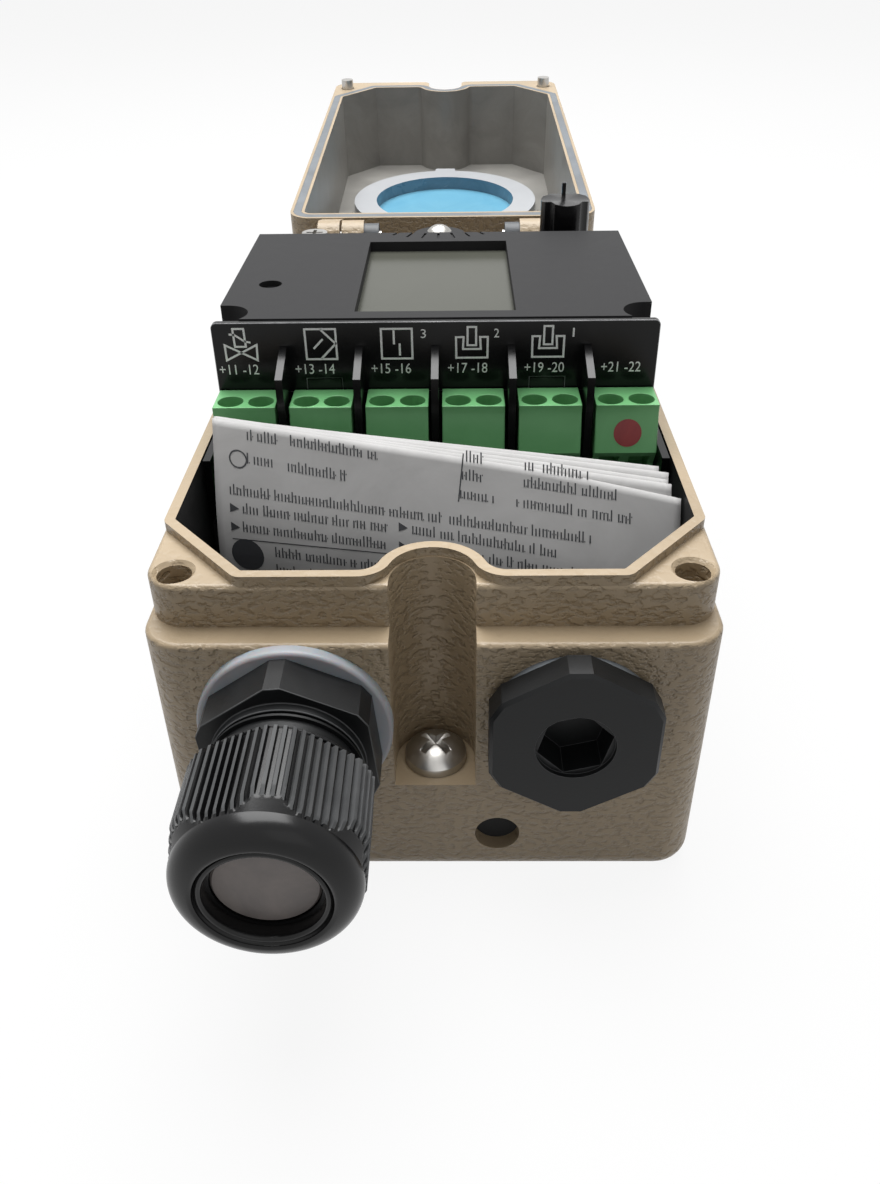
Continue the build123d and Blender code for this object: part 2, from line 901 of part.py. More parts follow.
# Fixing screw at the foot of the channel: domed head with a cross recess
head_side = fixing_head_height * 0.4
with BuildPart() as fixing_screw:
    with BuildSketch(upright_plane(0, screw_y, channel_floor)):
        with BuildLine():
            Polyline(
                (0, fixing_head_height),
                (0, 0),
                (fixing_head_radius, 0),
                (fixing_head_radius, head_side),
            )
            TangentArc((0, fixing_head_height), (fixing_head_radius, head_side), tangent=(1, 0))
        make_face()
    revolve(axis=Axis((0, screw_y, 0), (0, 0, 1)))
    with Locations((0, screw_y, channel_floor + fixing_head_height)):
        for turn in (20, 110):
            Box(
                fixing_head_radius,
                slot_width,
                fixing_head_height,
                rotation=(0, 0, turn),
                mode=Mode.SUBTRACT,
            )
    with Locations((0, screw_y, channel_floor)):
        Cylinder(fixing_screw_radius, channel_floor - fixing_screw_end, align=down)
finish(fixing_screw.part, "fixing_screw")


# Travel feedback shaft and what sits on it
pointer_base = rear_deck + pointer_gap
shaft_top = pointer_base + pointer_rise
shoulder_plane = Plane.XY.offset(shaft_shoulder)
with BuildPart() as feedback_shaft:
    extrude(discs(shoulder_plane, shaft_radius, shaft_place), amount=shaft_top - shaft_shoulder)
    extrude(discs(shoulder_plane, shaft_end_radius, shaft_place), amount=shaft_end - shaft_shoulder)
    chamfer(feedback_shaft.edges().group_by(Axis.Z)[0], shaft_end_radius / 6)
finish(feedback_shaft.part, "feedback_shaft")

flange_low = lever_recess_depth - bush_flange_thickness
with BuildPart() as shaft_bush:
    extrude(
        discs(Plane.XY.offset(lever_recess_depth), bush_radius - thread_play, shaft_place),
        amount=boss_top - lever_recess_depth,
    )
    extrude(
        discs(Plane.XY.offset(flange_low), bush_radius + bush_flange, shaft_place),
        amount=bush_flange_thickness,
    )
    extrude(
        discs(Plane.XY.offset(flange_low), shaft_radius + shaft_play, shaft_place),
        amount=boss_top - flange_low,
        mode=Mode.SUBTRACT,
    )
finish(shaft_bush.part, "shaft_bush")

snap_ring_plane = Plane.XY.offset(flange_low - snap_ring_gap)
with BuildPart() as snap_ring:
    extrude(
        discs(snap_ring_plane, shaft_radius + snap_ring_width, shaft_place, shaft_radius),
        amount=-snap_ring_thickness,
    )
finish(snap_ring.part, "snap_ring")

with BuildPart() as travel_sensor:
    with BuildSketch(Plane.XY.offset(boss_top)):
        with Locations((0, shaft_y)):
            RectangleRounded(sensor_size_x, sensor_size_y, block_corner)
            Circle(shaft_radius + sensor_play, mode=Mode.SUBTRACT)
    extrude(amount=sensor_height)
finish(travel_sensor.part, "travel_sensor")

hub_radius = shaft_radius + pointer_hub
with BuildPart() as travel_pointer:
    extrude(
        discs(Plane.XY.offset(pointer_base), hub_radius, shaft_place, shaft_radius),
        amount=pointer_rise,
    )
    with BuildSketch(Plane.XY.offset(shaft_top)):
        with Locations((0, shaft_y)):
            Circle(hub_radius)
        with BuildLine():
            Polyline(
                (-pointer_width / 2, shaft_y),
                (pointer_width / 2, shaft_y),
                (pointer_tip / 2, shaft_y - pointer_length),
                (-pointer_tip / 2, shaft_y - pointer_length),
                close=True,
            )
        make_face()
    extrude(amount=pointer_thickness)
finish(travel_pointer.part, "travel_pointer")

with BuildPart() as pointer_screw:
    with BuildSketch(upright_plane(0, shaft_y, shaft_top + pointer_thickness)):
        with BuildLine():
            Polyline((0, dome_height), (0, 0), (dome_radius, 0), (dome_radius, dome_edge))
            TangentArc((0, dome_height), (dome_radius, dome_edge), tangent=(1, 0))
        make_face()
    revolve(axis=Axis((0, shaft_y, 0), (0, 0, 1)))
finish(pointer_screw.part, "pointer_screw")


# Pneumatics on the housing floor
gasket_top = floor_height + block_gasket_thickness
block_top = gasket_top + block_height
block_plane = Plane.XY.offset(block_top)
unit_y = block_y + unit_offset_y
with BuildPart() as block_gasket:
    with BuildSketch(floor_plane):
        with Locations((0, block_y)):
            RectangleRounded(block_size_x, block_size_y, block_corner)
        add(discs(Plane.XY, screw_radius + screw_play, block_screw_places), mode=Mode.SUBTRACT)
        add(discs(Plane.XY, port_radius, port_places), mode=Mode.SUBTRACT)
    extrude(amount=block_gasket_thickness)
finish(block_gasket.part, "block_gasket")

with BuildPart() as pneumatic_block:
    with BuildSketch(Plane.XY.offset(gasket_top)):
        with Locations((0, block_y)):
            RectangleRounded(block_size_x, block_size_y, block_corner)
        add(discs(Plane.XY, screw_radius + screw_play, block_screw_places), mode=Mode.SUBTRACT)
    extrude(amount=block_height)
    extrude(
        discs(Plane.XY.offset(gasket_top), port_radius, port_places),
        amount=passage_depth,
        mode=Mode.SUBTRACT,
    )
finish(pneumatic_block.part, "pneumatic_block")

screw_group(
    "block_screws",
    [(x, y, block_top) for x, y in block_screw_places],
    screw_head_radius,
    screw_head_height,
    screw_radius,
    block_top - floor_height + screw_length - screw_end_gap,
)

with BuildPart() as pressure_converter:
    extrude(discs(block_plane, converter_radius, [(converter_x, unit_y)]), amount=converter_height)
    fillet(pressure_converter.edges().group_by(Axis.Z)[-1], edge_fillet)
finish(pressure_converter.part, "pressure_converter")

with BuildPart() as air_booster:
    extrude(discs(block_plane, booster_radius, [(booster_x, unit_y)]), amount=booster_height)
    extrude(
        discs(block_plane, booster_radius - booster_step, [(booster_x, unit_y)]),
        amount=2 * booster_height,
    )
finish(air_booster.part, "air_booster")

with BuildPart() as port_orings:
    for x, y in port_places:
        with BuildSketch(upright_plane(x, y, oring_play)):
            with Locations((oring_radius, oring_section / 2)):
                Circle(oring_section / 2)
        revolve(axis=Axis((x, y, 0), (0, 0, 1)))
finish(port_orings.part, "port_orings")


# Module base: stepped tray, open below, that carries electronics and terminals
notch_x = plate_half - notch_inset_x
notch_y = plate_front + notch_inset_y
cap_screw_places = [(-notch_x + cap_screw_inset, notch_y), (notch_x - cap_screw_inset, notch_y)]
knob_place = [(knob_x, knob_y)]
rest_places = grid_places((plate_front + plate_rear) / 2 + rest_offset_y, rest_x, rest_y)
board_height = module_deck + board_rise
collar_top = rear_deck + collar_rise
deck_plane = Plane.XY.offset(module_deck)
rear_deck_plane = Plane.XY.offset(rear_deck)

with BuildPart() as module_base:
    with BuildSketch(side_plane(0)):
        with BuildLine():
            Polyline(
                (module_front, floor_height),
                (module_rear, floor_height),
                (module_rear, module_deck),
                (label_rear, module_deck),
                (label_rear, terminal_deck),
                (module_front, terminal_deck),
                close=True,
            )
        make_face()
    extrude(amount=module_half, both=True)
    fillet(module_base.edges().filter_by(Axis.Z).group_by(Axis.Y)[-1], module_corner)
    # Raised deck at the rear, stepped in so that it goes into the closed cover
    with BuildSketch(deck_plane) as deck_area:
        add(box_area(Plane.XY, plate_half, plate_rear + plate_gap, module_rear - plate_inset))
        fillet(deck_area.vertices().group_by(Axis.Y)[-1], module_corner - plate_inset)
    extrude(amount=rear_deck - module_deck)
    offset(amount=-module_wall, openings=module_base.faces().sort_by(Axis.Z)[0])
    # Feet in the wiring space, collar round the knob's spindle
    with BuildSketch(floor_plane):
        with Locations((-foot_x, module_front + foot_overlap), (foot_x, module_front + foot_overlap)):
            Rectangle(foot_width, foot_depth + foot_overlap, align=(Align.CENTER, Align.MAX))
    extrude(amount=foot_thickness)
    extrude(discs(rear_deck_plane, knob_radius + collar_wall, knob_place), amount=collar_rise)
    # Bosses under the deck for the electronics cover's screws, rests for the main board
    extrude(
        discs(Plane.XY.offset(module_deck - module_wall / 2), cap_boss_radius, cap_screw_places),
        amount=-cap_boss_length,
    )
    extrude(discs(deck_plane, rest_radius, rest_places), amount=board_rise)
    # Holes for screws, feedback shaft and knob spindle
    extrude(
        discs(floor_plane, screw_radius + screw_play, foot_places),
        amount=foot_thickness,
        mode=Mode.SUBTRACT,
    )
    extrude(
        discs(rear_deck_plane, screw_radius + screw_play, post_places),
        amount=-module_wall,
        mode=Mode.SUBTRACT,
    )
    extrude(
        discs(rear_deck_plane, shaft_radius + shaft_opening, shaft_place),
        amount=-module_wall,
        mode=Mode.SUBTRACT,
    )
    extrude(
        discs(Plane.XY.offset(collar_top), spindle_radius + spindle_opening, knob_place),
        amount=-module_wall - collar_rise,
        mode=Mode.SUBTRACT,
    )
    extrude(
        discs(deck_plane, cap_screw_radius + screw_grip, cap_screw_places),
        amount=-screw_length,
        mode=Mode.SUBTRACT,
    )
finish(module_base.part, "module_base")

foot_seats = [(x, y, floor_height + foot_thickness) for x, y in foot_places]
post_seats = [(x, y, rear_deck) for x, y in post_places]
screw_group(
    "module_screws",
    foot_seats + post_seats,
    screw_head_radius,
    screw_head_height,
    screw_radius,
    screw_length,
)


def notch_area(plane):
    """The two screw pockets in the electronics cover, open to its sides."""
    with BuildSketch(plane) as area:
        for side in (-1, 1):
            with Locations((side * notch_x, notch_y)):
                Circle(notch_radius)
            with Locations((side * (notch_x + notch_radius), notch_y)):
                Rectangle(2 * notch_radius, 2 * notch_radius)
    return area.sketch


# Electronics cover: flat dark cap with display opening, key hole, pockets and scale marks
cap_inside = plate_height - plate_roof
plate_plane = Plane.XY.offset(plate_height)
key_x = key_inset_x - plate_half
key_y = plate_front + key_inset_y
key_place = [(key_x, key_y)]
with BuildPart() as electronics_cover:
    extrude(
        box_area(deck_plane, plate_half, plate_front, plate_rear),
        amount=plate_height - module_deck,
    )
    extrude(notch_area(plate_plane), amount=notch_floor - plate_height, mode=Mode.SUBTRACT)
    with BuildSketch(deck_plane):
        add(box_area(Plane.XY, plate_half, plate_front, plate_rear) - notch_area(Plane.XY))
        offset(amount=-plate_wall, kind=Kind.INTERSECTION, mode=Mode.REPLACE)
    extrude(amount=cap_inside - module_deck, mode=Mode.SUBTRACT)
    extrude(box_area(plate_plane, lcd_half, lcd_front, lcd_rear), amount=-plate_roof, mode=Mode.SUBTRACT)
    extrude(discs(plate_plane, key_hole, key_place), amount=-plate_roof, mode=Mode.SUBTRACT)
    extrude(
        discs(deck_plane, cap_screw_radius + screw_play, cap_screw_places),
        amount=notch_floor - module_deck,
        mode=Mode.SUBTRACT,
    )
    # Radial marks that point at the feedback shaft
    with BuildSketch(plate_plane):
        for mark in range(tick_count):
            angle = -90 + (mark - (tick_count - 1) / 2) * tick_step
            with Locations((0, shaft_y)):
                with PolarLocations(plate_to_shaft + tick_gap + tick_length / 2, 1, start_angle=angle):
                    Rectangle(tick_length, tick_width)
    extrude(amount=-tick_depth, mode=Mode.SUBTRACT)
finish(electronics_cover.part, "electronics_cover")

screw_group(
    "cap_screws",
    [(x, y, notch_floor) for x, y in cap_screw_places],
    cap_head_radius,
    cap_head_height,
    cap_screw_radius,
    screw_length,
)

# Display: glass under the cap's roof, its frame down to the main board
board_top = board_height + board_thickness
glass_back = cap_inside - lcd_glass_thickness
lcd_outer = lcd_half + lcd_border_x
lcd_low = lcd_front - lcd_border_y
lcd_high = lcd_rear + lcd_border_y
board_plane = Plane.XY.offset(board_top)
with BuildPart() as lcd_glass:
    extrude(
        box_area(Plane.XY.offset(glass_back), lcd_outer, lcd_low, lcd_high),
        amount=lcd_glass_thickness,
    )
finish(lcd_glass.part, "lcd_glass")

with BuildPart() as lcd_frame:
    extrude(box_area(board_plane, lcd_outer, lcd_low, lcd_high), amount=glass_back - board_top)
    extrude(
        box_area(
            board_plane,
            lcd_outer - lcd_frame_wall,
            lcd_low + lcd_frame_wall,
            lcd_high - lcd_frame_wall,
        ),
        amount=glass_back - board_top,
        mode=Mode.SUBTRACT,
    )
finish(lcd_frame.part, "lcd_frame")

board_front = notch_y + notch_radius + plate_wall + board_gap
board_edge = plate_wall + board_gap
main_board_plane = Plane.XY.offset(board_height)
with BuildPart() as main_board:
    extrude(
        box_area(main_board_plane, plate_half - board_edge, board_front, plate_rear - board_edge),
        amount=board_thickness,
    )
    extrude(
        box_area(Plane.XY.offset(board_height), lcd_outer, lcd_low, board_front),
        amount=board_thickness,
    )
finish(main_board.part, "main_board")

switch_top = board_top + switch_height
key_low = switch_top + key_travel + press_margin
with BuildPart() as init_key:
    extrude(
        discs(Plane.XY.offset(key_low), key_hole - key_play, key_place),
        amount=plate_height - key_sink - key_low,
    )
    extrude(
        discs(Plane.XY.offset(cap_inside), key_hole + key_flange, key_place),
        amount=-key_flange_thickness,
    )
finish(init_key.part, "init_key")

with BuildPart() as key_switch:
    with Locations((key_x, key_y, board_top)):
        Box(switch_size, switch_size, switch_height, align=up)
finish(key_switch.part, "key_switch")


# Rotary pushbutton: encoder under the rear deck, spindle, tall knob with a four-lobed top
spindle_top = knob_top - spindle_cover
spindle_low = post_top - encoder_height + spindle_low_gap
with BuildPart() as encoder_body:
    with BuildSketch(Plane.XY.offset(post_top)):
        with Locations((knob_x, knob_y)):
            Rectangle(encoder_size, encoder_size)
            Circle(spindle_radius + spindle_play, mode=Mode.SUBTRACT)
    extrude(amount=-encoder_height)
finish(encoder_body.part, "encoder_body")

with BuildPart() as encoder_spindle:
    extrude(
        discs(Plane.XY.offset(spindle_low), spindle_radius, knob_place),
        amount=spindle_top - spindle_low,
    )
finish(encoder_spindle.part, "encoder_spindle")

knob_bottom = collar_top + knob_travel + press_margin
dish_height = knob_top + knob_dish_radius - knob_dish_depth
with BuildPart() as rotary_knob:
    with BuildSketch(Plane.XY.offset(knob_bottom)):
        with Locations((knob_x, knob_y)):
            Circle(knob_radius)
            with PolarLocations(knob_radius + flute_radius - flute_depth, 4, start_angle=45):
                Circle(flute_radius, mode=Mode.SUBTRACT)
    extrude(amount=knob_top - knob_bottom)
    # Two hollows that cross over the top, so that four lobes stand
    with Locations((knob_x, knob_y, dish_height)):
        Cylinder(knob_dish_radius, 4 * knob_radius, rotation=(90, 0, 0), mode=Mode.SUBTRACT)
        Cylinder(knob_dish_radius, 4 * knob_radius, rotation=(0, 90, 0), mode=Mode.SUBTRACT)
    # Pointer nib at the rear of the top
    with Locations((knob_x, knob_y + knob_radius - nib_size, knob_top - 2 * knob_dish_depth)):
        Box(nib_size, nib_size, nib_height + 2 * knob_dish_depth, align=up)
    extrude(
        discs(Plane.XY.offset(knob_bottom), spindle_radius + spindle_play, knob_place),
        amount=spindle_top + knob_travel + press_margin - knob_bottom,
        mode=Mode.SUBTRACT,
    )
finish(rotary_knob.part, "rotary_knob")


# Terminals: board, carrier with fins and cheeks, six two-pole blocks with their screws
carrier_low = terminal_deck + board_thickness
terminal_low = carrier_low + carrier_base
terminal_rear = label_front - terminal_gap
terminal_front = terminal_rear - terminal_depth
terminal_row = 2 * (module_half - terminal_margin)
terminal_pitch = (terminal_row + terminal_spacing) / terminal_count
terminal_width = terminal_pitch - terminal_spacing
pole_pitch = terminal_width - 2 * pole_inset
terminal_xs = [(index - (terminal_count - 1) / 2) * terminal_pitch for index in range(terminal_count)]
well_y = terminal_front + well_setback
pole_places = [(x + side * pole_pitch / 2, well_y) for x in terminal_xs for side in (-1, 1)]
fin_xs = [x + terminal_pitch / 2 for x in terminal_xs[:-1]]
fin_front = terminal_front - fin_proud
fin_rear = label_front - label_gap / 2
carrier_plane = Plane.XY.offset(carrier_low)
cheek_inside = label_half + cheek_play

with BuildPart() as terminal_board:
    extrude(
        box_area(
            Plane.XY.offset(terminal_deck),
            module_half - board_gap,
            module_front + board_gap,
            label_rear - board_gap,
        ),
        amount=board_thickness,
    )
finish(terminal_board.part, "terminal_board")

with BuildPart() as terminal_carrier:
    extrude(box_area(carrier_plane, module_half, module_front, label_rear), amount=carrier_base)
    extrude(
        box_area(carrier_plane, label_half, label_front, label_rear),
        amount=carrier_wall_top - carrier_low,
    )
    # Cheeks at both ends
    extrude(
        box_area(carrier_plane, module_half, module_front, label_rear)
        - box_area(carrier_plane, cheek_inside, module_front, label_rear),
        amount=module_deck - carrier_low,
    )
    # Fins between the blocks, sloping up to the label's face
    for x in fin_xs:
        with BuildSketch(side_plane(x)):
            with BuildLine():
                Polyline(
                    (fin_front, carrier_low),
                    (fin_front, fin_corner),
                    (fin_rear, fin_top),
                    (fin_rear, carrier_wall_top),
                    (label_rear, carrier_wall_top),
                    (label_rear, carrier_low),
                    close=True,
                )
            make_face()
        extrude(amount=fin_thickness / 2, both=True)
    # Tabs that hold the label's lower edge
    with Locations((-tab_x, label_front, carrier_wall_top), (tab_x, label_front, carrier_wall_top)):
        Box(tab_width, label_thickness, tab_rise, align=(Align.CENTER, Align.MIN, Align.MIN))
finish(terminal_carrier.part, "terminal_carrier")

for index, x in enumerate(terminal_xs):
    wells = pole_places[2 * index : 2 * index + 2]
    with BuildPart() as terminal_block:
        with BuildSketch(side_plane(x)):
            with BuildLine():
                Polyline(
                    (terminal_rear, terminal_low),
                    (terminal_rear, terminal_top),
                    (terminal_front, terminal_top),
                    (terminal_front, nose_top),
                    (terminal_front - terminal_nose, nose_height),
                    (terminal_front, nose_bottom),
                    (terminal_front, terminal_low),
                    close=True,
                )
            make_face()
        extrude(amount=terminal_width / 2, both=True)
        extrude(
            discs(Plane.XY.offset(well_floor), well_radius, wells),
            amount=terminal_top - well_floor,
            mode=Mode.SUBTRACT,
        )
        with Locations(*[(px, terminal_front - terminal_nose, wire_entry_height) for px, _ in wells]):
            Box(
                wire_entry,
                wire_entry_depth,
                wire_entry,
                align=(Align.CENTER, Align.MIN, Align.CENTER),
                mode=Mode.SUBTRACT,
            )
    finish(terminal_block.part, f"terminal_block_{index + 1}")

with BuildPart() as terminal_screws:
    with Locations(*[(x, y, well_floor) for x, y in pole_places]):
        Cylinder(terminal_screw_radius, terminal_screw_head, align=up)
    with Locations(*[(x, y, well_floor + terminal_screw_head) for x, y in pole_places]):
        Box(2 * terminal_screw_radius, terminal_slot_width, slot_depth, mode=Mode.SUBTRACT)
finish(terminal_screws.part, "terminal_screws")

with BuildPart() as terminal_label:
    with BuildSketch(Plane(origin=(0, label_front, 0), x_dir=(1, 0, 0), z_dir=(0, -1, 0))) as label_area:
        with Locations((0, carrier_wall_top)):
            Rectangle(2 * label_half, label_top - carrier_wall_top, align=(Align.CENTER, Align.MIN))
        fillet(label_area.vertices().group_by(Axis.Y)[-1], label_corner)
        with Locations((-tab_x, carrier_wall_top), (tab_x, carrier_wall_top)):
            Rectangle(tab_width + 2 * tab_play, 2 * (tab_rise + tab_play), mode=Mode.SUBTRACT)
    extrude(amount=-label_thickness)
finish(terminal_label.part, "terminal_label")


# Leaflet: folded paper that leans back, bent where it stands on the floor
leaf_left = leaf_left_inset - module_half
leaf_run = Vector(module_half - leaf_right_inset - leaf_left, -leaf_swing, -leaf_drop)
leaf_head = Vector(module_front + leaf_setback, leaf_top)
leaf_middle = leaf_head + Vector(0, -leaf_upper).rotate(Axis.Z, -leaf_lean)
leaf_foot = leaf_middle + Vector(0, -leaf_lower).rotate(Axis.Z, leaf_bend - leaf_lean)
with BuildPart() as leaflet:
    with BuildSketch(side_plane(leaf_left)):
        with BuildLine():
            FilletPolyline(leaf_head, leaf_middle, leaf_foot, radius=leaf_bend_radius)
        trace(line_width=leaf_thickness)
    # Its right-hand end stands lower and further forward
    extrude(amount=leaf_run.length, dir=leaf_run)
finish(leaflet.part, "leaflet")
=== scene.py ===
# %% [markdown]
# # A valve positioner with its cover open
# The scene dresses a fixed frame: every solid piece is already in its place, in metres,
# with +Z up and the housing lying on its back face. First the frame is loaded.
# %% Load the frame
import json
import math
import bmesh
import bpy
import numpy as np
from mathutils import Matrix, Vector


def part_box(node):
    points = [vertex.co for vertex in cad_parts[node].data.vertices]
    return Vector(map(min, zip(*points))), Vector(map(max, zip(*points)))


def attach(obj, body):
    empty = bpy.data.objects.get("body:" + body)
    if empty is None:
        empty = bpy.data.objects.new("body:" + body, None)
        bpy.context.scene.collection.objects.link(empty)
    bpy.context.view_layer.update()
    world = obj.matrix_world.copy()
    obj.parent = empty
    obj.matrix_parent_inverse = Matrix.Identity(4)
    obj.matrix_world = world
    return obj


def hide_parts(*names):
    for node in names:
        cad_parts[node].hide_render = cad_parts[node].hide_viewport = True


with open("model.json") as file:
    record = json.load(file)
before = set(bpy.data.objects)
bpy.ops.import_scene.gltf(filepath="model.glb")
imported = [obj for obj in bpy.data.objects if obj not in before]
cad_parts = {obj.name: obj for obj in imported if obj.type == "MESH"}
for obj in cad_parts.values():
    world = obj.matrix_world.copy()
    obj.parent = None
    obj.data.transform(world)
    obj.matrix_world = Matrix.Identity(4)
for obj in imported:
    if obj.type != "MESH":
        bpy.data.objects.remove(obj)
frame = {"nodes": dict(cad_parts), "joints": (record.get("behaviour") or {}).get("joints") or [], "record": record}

mm = 0.001
nodes = frame["nodes"]
body_of = {n: b for b, members in frame["record"]["behaviour"]["bodies"].items() for n in members}
slot_of = {s["node"]: s["material_slot"] for s in frame["record"]["subparts"]}
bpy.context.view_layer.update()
scene = bpy.context.scene

# %% [markdown]
# ## Camera
# The photograph was taken from close in front and well above, so the front of the
# housing looks wider than the cover behind it. The place, tilt and lens below were worked
# out from straight edges of known length. A camera looks along its own -Z, so its three
# axes are built from the direction of view, then turned by the small roll.
# %% Camera
eye = np.array([3.334, -185.56, 132.06]) * mm
tilt, yaw, roll = 0.60712, -0.01959, -0.01562
forward = [math.sin(yaw) * math.cos(tilt), math.cos(yaw) * math.cos(tilt), -math.sin(tilt)]
forward = np.array(forward)
level = np.array([math.cos(yaw), -math.sin(yaw), 0.0])
upward = np.cross(level, forward)
across = level * math.cos(roll) + upward * math.sin(roll)
upright = upward * math.cos(roll) - level * math.sin(roll)
camera = bpy.data.objects.new("camera", bpy.data.cameras.new("camera"))
scene.collection.objects.link(camera)
turn = Matrix(np.column_stack([across, upright, -forward]).tolist())
camera.matrix_world = Matrix.Translation(eye) @ turn.to_4x4()
camera.data.lens = 30.99
camera.data.sensor_width = 36.0
camera.data.clip_start = 0.01
scene.camera = camera
scene.view_settings.view_transform = "Standard"

# %% [markdown]
# ## Helpers for meshes
# A few helpers carry all the new shapes. One turns a grid of points into a mesh, one
# turns the faces of a closed mesh outward, one joins the loose triangles of a solid so
# that its rounded faces shade smoothly, and one says which body a piece rides on and
# which solid it stands for.
# %% Mesh helpers
def grid_mesh(name, points, wrap_u=False, wrap_v=False, with_uv=False):
    """Mesh of quads over a (rows, columns, 3) array of points; a wrapped side closes on itself."""
    rows, columns = points.shape[:2]
    index = np.arange(rows * columns).reshape(rows, columns)
    if wrap_u:
        index = np.vstack([index, index[:1]])
    if wrap_v:
        index = np.hstack([index, index[:, :1]])
    quads = np.stack([index[:-1, :-1], index[1:, :-1], index[1:, 1:], index[:-1, 1:]], axis=-1)
    mesh = bpy.data.meshes.new(name)
    mesh.from_pydata(points.reshape(-1, 3).tolist(), [], quads.reshape(-1, 4).tolist())
    if with_uv:
        v, u = np.meshgrid(np.linspace(0, 1, rows), np.linspace(0, 1, columns), indexing="ij")
        flat = np.stack([u, v], axis=-1).reshape(-1, 2)
        corner = np.empty(len(mesh.loops), dtype=np.int32)
        mesh.loops.foreach_get("vertex_index", corner)
        layer = mesh.uv_layers.new(name="page")
        layer.data.foreach_set("uv", flat[corner].astype(np.float32).ravel())
    mesh.shade_smooth()
    piece = bpy.data.objects.new(name, mesh)
    scene.collection.objects.link(piece)
    return piece


def dress(piece, body, material, stands_for=()):
    """Gives a piece its body, its finish and the solids that it stands for."""
    if material:
        piece.data.materials.clear()
        piece.data.materials.append(material)
    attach(piece, body)
    if stands_for:
        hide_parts(*stands_for)


def face_outward(mesh, join=0.0):
    """Turns all faces of a closed mesh outward, after joining the points closer than a distance."""
    work = bmesh.new()
    work.from_mesh(mesh)
    if join:
        bmesh.ops.remove_doubles(work, verts=work.verts, dist=join)
    bmesh.ops.recalc_face_normals(work, faces=work.faces)
    work.to_mesh(mesh)
    work.free()


triangle_join = 2e-6
flat_enough, bevel_from = math.radians(0.5), math.radians(50)


def smooth_skin(node, material, angle=32.0, edge=0.0, edge_material=None, weighted=True):
    """Copy of a solid with its loose triangles joined; edges sharper than the angle stay crisp."""
    mesh = nodes[node].data.copy()
    work = bmesh.new()
    work.from_mesh(mesh)
    bmesh.ops.remove_doubles(work, verts=work.verts, dist=triangle_join)
    if edge:
        bmesh.ops.dissolve_limit(
            work, angle_limit=flat_enough, verts=work.verts, edges=work.edges, delimit={"NORMAL"}
        )
    work.to_mesh(mesh)
    work.free()
    if "custom_normal" in mesh.attributes:
        mesh.attributes.remove(mesh.attributes["custom_normal"])
    mesh.shade_smooth()
    mesh.set_sharp_from_angle(angle=math.radians(angle))
    skin = bpy.data.objects.new(node + "_skin", mesh)
    scene.collection.objects.link(skin)
    dress(skin, body_of[node], material, [node])
    if edge:
        bevel = skin.modifiers.new("edge", "BEVEL")
        bevel.width, bevel.segments, bevel.limit_method = edge, 2, "ANGLE"
        bevel.angle_limit = bevel_from
        bevel.harden_normals = True
        if edge_material:
            mesh.materials.append(edge_material)
            bevel.material = 1
    elif weighted:
        weigh = skin.modifiers.new("weighted", "WEIGHTED_NORMAL")
        weigh.keep_sharp = True
        weigh.weight = 80
    return skin

# %% [markdown]
# ## Shared surface effects
# Two effects come back on many pieces, so each is a node group with named inputs. The
# first is the orange-peel skin of a thick powder coat: soft lumps a millimetre or two wide,
# strong on upright walls and calm on level faces, where the coat flows out before it sets.
# Its tone darkens the low spots between the lumps, most on upright walls: painted shade.
# The second is the fine grain that a spark-eroded mould leaves on plastic, with faint
# handling marks.
# %% Group helpers
def new_group(name, inputs, outputs):
    """Empty shader node group with named number or vector sockets."""
    group = bpy.data.node_groups.new(name, "ShaderNodeTree")
    for label, kind, value in inputs:
        socket = group.interface.new_socket(name=label, in_out="INPUT", socket_type=kind)
        if value is not None:
            socket.default_value = value
    for label, kind in outputs:
        group.interface.new_socket(name=label, in_out="OUTPUT", socket_type=kind)
    ends = group.nodes.new("NodeGroupInput"), group.nodes.new("NodeGroupOutput")
    return group, *ends


def add(tree, kind, **settings):
    """Adds a node; settings that name an input socket fill it, the others set the node."""
    node = tree.nodes.new(kind)
    for key, value in settings.items():
        label = key.replace("_", " ").title()
        if label in node.inputs:
            node.inputs[label].default_value = value
        else:
            setattr(node, key, value)
    return node


def math_node(tree, operation, first, second, third=0.0):
    """Adds a Math node and fills its inputs with numbers or with other nodes' outputs."""
    node = tree.nodes.new("ShaderNodeMath")
    node.operation = operation
    for socket, value in zip(node.inputs, (first, second, third)):
        if isinstance(value, bpy.types.NodeSocket):
            tree.links.new(value, socket)
        else:
            socket.default_value = value
    return node.outputs[0]


NUMBER, VECTOR = "NodeSocketFloat", "NodeSocketVector"

# %% Orange-peel coat
coat_group, given, result = new_group(
    "orange_peel_coat",
    [("Place", VECTOR, None), ("Lumps per Metre", NUMBER, 330.0), ("Calm on Top", NUMBER, 0.85)],
    [("Height", NUMBER), ("Tone and Pit Shade", NUMBER)],
)
stretch = add(coat_group, "ShaderNodeMapping")
stretch.inputs["Scale"].default_value = (0.72, 0.72, 1.15)
coat_group.links.new(given.outputs["Place"], stretch.inputs["Vector"])
lumps = add(coat_group, "ShaderNodeTexNoise", detail=2.0, roughness=0.5)
coat_group.links.new(stretch.outputs[0], lumps.inputs["Vector"])
coat_group.links.new(given.outputs["Lumps per Metre"], lumps.inputs["Scale"])
ramp = add(coat_group, "ShaderNodeMapRange", interpolation_type="SMOOTHSTEP")
ramp.inputs["From Min"].default_value = 0.34
ramp.inputs["From Max"].default_value = 0.56
coat_group.links.new(lumps.outputs[0], ramp.inputs["Value"])
surface = add(coat_group, "ShaderNodeNewGeometry")
split = add(coat_group, "ShaderNodeSeparateXYZ")
coat_group.links.new(surface.outputs["Normal"], split.inputs[0])
facing_up = math_node(coat_group, "MAXIMUM", split.outputs["Z"], 0.0)
calm = math_node(coat_group, "MULTIPLY", facing_up, given.outputs["Calm on Top"])
strength = math_node(coat_group, "SUBTRACT", 1.0, calm)
